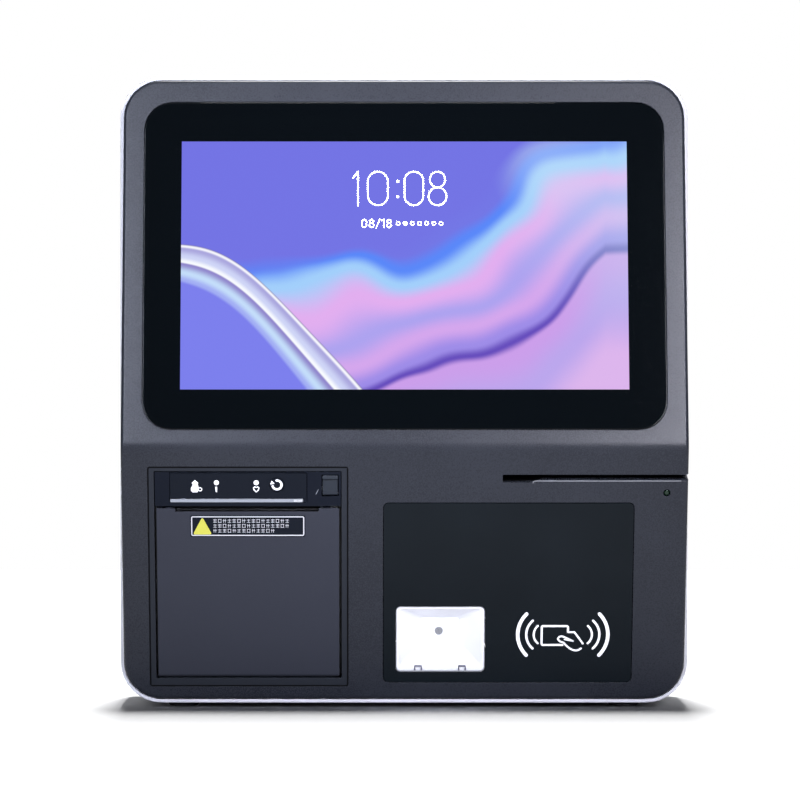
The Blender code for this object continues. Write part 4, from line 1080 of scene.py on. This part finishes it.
def make_power_sign(looks):
    """A broken ring with a bar in it, on the face of the power button."""
    x, y, z = box_in("power_button", UPRIGHT)
    centre = (middle(x), middle(z))
    span = (y[1] + INK_LIFT, y[1] + INK_LIFT + INK)
    sign = Shape()
    sign.stroke(arc(centre, 2.7, 120, 420, 24), 0.7, span)
    sign.stroke([(centre[0], centre[1] + 0.8), (centre[0], centre[1] + 3.3)], 0.7, span)
    add_piece("power_sign", "power_key", looks["white_ink"], sign, UPRIGHT)


# How far a speaker's recess floor is from the speaker's inner face.
RECESS_FLOOR = 7.4


def make_screw_recesses():
    """Cuts a cross into each case screw's head."""
    long, thin = 1.7, 0.32
    outline = [(long, thin), (thin, thin), (thin, long), (-thin, long), (-thin, thin), (-long, thin)]
    outline += [(-a, -b) for a, b in outline]
    for index in range(1, 5):
        screw = f"case_screw_{index}"
        x, y, z = box_in(screw, UPRIGHT)
        centre = (middle(x), middle(z))
        top = [(centre[0] + a, y[1] + 0.5, centre[1] + b) for a, b in outline]
        foot = [(centre[0] + a * 0.45, y[1] - 1.0, centre[1] + b * 0.8) for a, b in outline]
        name = f"cross_{index}"
        cutter = add_object(name, closed_mesh(name, Shape().skin([top, foot]), UPRIGHT))
        cutter.hide_render = True
        cutter.display_type = "WIRE"
        cutter.parent = frame["bodies"]["case"]
        change = NODES[screw].modifiers.new("cross", "BOOLEAN")
        change.object = cutter
        change.operation = "DIFFERENCE"
        change.solver = "EXACT"


def make_speaker_cones(looks):
    """A paper cone with its surround and cap, in each speaker's recess."""
    profile = [(0.0, 2.2), (1.5, 2.1), (2.9, 1.5), (3.4, 1.0), (9.2, 2.9), (10.0, 3.6), (11.2, 3.7)]
    profile += [(12.2, 3.0), (12.6, 2.9), (12.6, 0.1), (0.0, 0.1)]
    for name, side in (("speaker_left", -1), ("speaker_right", 1)):
        x, y, z = box_in(name, UPRIGHT)
        inner = x[1] if side < 0 else x[0]
        centre = (inner + side * RECESS_FLOOR, middle(y), middle(z))
        cone = Shape().turned([(radius, off * side) for radius, off in profile], centre, "X", 48)
        add_piece(f"{name}_cone", "case", looks["cone"], cone, UPRIGHT, 50)


# --- Inside the printer ---


def make_bay_details(looks):
    """Ribs that carry the roll, and the dark heating line of the print head."""
    x, y, z = box_in("printer_bucket", LOWER)
    ribs = Shape()
    for share in (0.2, 0.5, 0.8):
        centre = x[0] + share * (x[1] - x[0])
        ribs.box((centre - 0.8, centre + 0.8), (y[0] + 4, y[1] - 2.3), (z[0] + 2.2, z[0] + 3.2))
        ribs.box((centre - 0.8, centre + 0.8), (y[1] - 3.6, y[1] - 2.3), (z[0] + 3.4, z[1] - 8))
    soften(add_piece("bay_ribs", "case", looks["black_plastic"], ribs, LOWER), 0.15)
    x, y, z = box_in("print_head", LOWER)
    outline = rounded((x[0] + 1, x[1] - 1), (z[1] - 8.6, z[1] - 7.2), 0.5)
    line = Shape().slab(outline, (y[0] - 0.12, y[0] - 0.02))
    add_piece("heating_line", "case", looks["black_gloss"], line, LOWER)


# --- Stage ---

FLOOR_HALF = 1.5

# Each light: its name, place, aim, size, power, colour and spread in degrees.
OVERHEAD = ("overhead", (0, 0.6, 3.0), (0, 0.6, 0), (0.5, 1.8), 175, (1.0, 1.0, 1.0), 180)
FRONT_LIGHTS = (
    ("front_box", (-0.1, -1.3, 1.25), (0, -0.05, 0.33), (0.5, 0.3), 0.3, (0.84, 0.89, 1.0), 40),
    ("left_strip", (-0.44, -1.3, 0.62), (-0.04, -0.04, 0.29), (0.2, 0.5), 1.45, (0.78, 0.83, 1.0), 36),
    ("right_strip", (0.42, -1.3, 0.54), (0.04, -0.04, 0.28), (0.2, 0.5), 1.8, (0.88, 0.88, 1.0), 36),
)


def make_camera():
    data = bpy.data.cameras.new("camera")
    data.sensor_width = 36.0
    data.lens = CAMERA_LENS
    data.shift_x = CAMERA_SHIFT
    data.clip_start = 0.01
    data.clip_end = 50.0
    camera = add_object("camera", data)
    camera.location = CAMERA_PLACE
    camera.rotation_euler = (math.pi / 2, 0, 0)
    bpy.context.scene.camera = camera


def make_floor():
    """A wide pale floor under the feet."""
    level = CAD_BOX[0].z
    corners = [(a * FLOOR_HALF, b * FLOOR_HALF, level) for a, b in ((-1, -1), (1, -1), (1, 1), (-1, 1))]
    mesh = bpy.data.meshes.new("floor")
    mesh.from_pydata(corners, [], [(0, 1, 2, 3)])
    look = Finish("floor", Roughness=0.9, Specular_IOR_Level=0.0)
    grain = look.noise(0.004, 3.0)
    look.set(Base_Color=look.mix(look.between(grain, 0, 1), (0.9, 0.9, 0.9), (0.93, 0.93, 0.93)))
    mesh.materials.append(look.material)
    floor = add_object("floor", mesh)
    return floor


def add_light(name, place, aim, size, power, colour, spread, skipped=None):
    """A soft box; a small spread is a grid in front of it, and it can skip one object."""
    data = bpy.data.lights.new(name, "AREA")
    data.shape = "RECTANGLE"
    data.size, data.size_y = size
    data.energy = power
    data.color = colour
    data.spread = math.radians(spread)
    light = add_object(name, data)
    light.location = place
    light.rotation_euler = (Vector(aim) - Vector(place)).to_track_quat("-Z", "Y").to_euler()
    light.visible_camera = False
    if skipped:
        linked = bpy.data.collections.new(f"{name}_skips")
        linked.objects.link(skipped)
        linked.collection_objects[0].light_linking.link_state = "EXCLUDE"
        light.light_linking.receiver_collection = linked


def make_lights(floor):
    """A long soft box overhead, one high in front and a strip each side of the view.

    The gap between the strips is what the screen's glass mirrors, so it stays dark. Only the one overhead
    lights the floor, which leaves the shadow under the kiosk dark.
    """
    add_light(*OVERHEAD)
    for values in FRONT_LIGHTS:
        add_light(*values, floor)
    make_room()
    bpy.context.scene.view_settings.view_transform = "Standard"


def make_room():
    """White to the camera; as light, dim in front of the kiosk and brighter behind it."""
    world = bpy.data.worlds.new("room")
    bpy.context.scene.world = world
    world.use_nodes = True
    tree = world.node_tree
    white = tree.nodes["Background"]
    white.inputs[0].default_value = (1, 1, 1, 1)
    light = tree.nodes.new("ShaderNodeBackground")
    direction = tree.nodes.new("ShaderNodeTexCoord").outputs["Generated"]
    parts = tree.nodes.new("ShaderNodeSeparateXYZ")
    tree.links.new(direction, parts.inputs[0])
    back = tree.nodes.new("ShaderNodeMapRange")
    back.interpolation_type = "SMOOTHSTEP"
    tree.links.new(parts.outputs["Y"], back.inputs["Value"])
    for name, value in (("From Min", -0.35), ("From Max", 0.6), ("To Min", 0.05), ("To Max", 0.3)):
        back.inputs[name].default_value = value
    light.inputs["Color"].default_value = (0.94, 0.96, 1.0, 1)
    tree.links.new(back.outputs[0], light.inputs["Strength"])
    sight = tree.nodes.new("ShaderNodeLightPath")
    choice = tree.nodes.new("ShaderNodeMixShader")
    tree.links.new(sight.outputs["Is Camera Ray"], choice.inputs[0])
    tree.links.new(light.outputs[0], choice.inputs[1])
    tree.links.new(white.outputs[0], choice.inputs[2])
    tree.links.new(choice.outputs[0], tree.nodes["World Output"].inputs[0])


def main():
    make_camera()
    make_lights(make_floor())
    looks = make_looks()
    finish_nodes(looks)
    make_clock(looks)
    make_key_signs(looks)
    make_feed_sign(looks)
    make_slot_label(looks)
    make_tear_bar_grip(looks)
    make_paper_slot_shade(looks)
    make_bezel_gap_shade(looks)
    make_contactless_sign(looks)
    make_scanner_details(looks)
    make_card_slot_highlight(looks)
    make_lan_details(looks)
    for index in (1, 2):
        make_usb_details(looks, index)
    make_inlet_pin(looks)
    make_power_sign(looks)
    make_screw_recesses()
    make_speaker_cones(looks)
    make_bay_details(looks)


main()
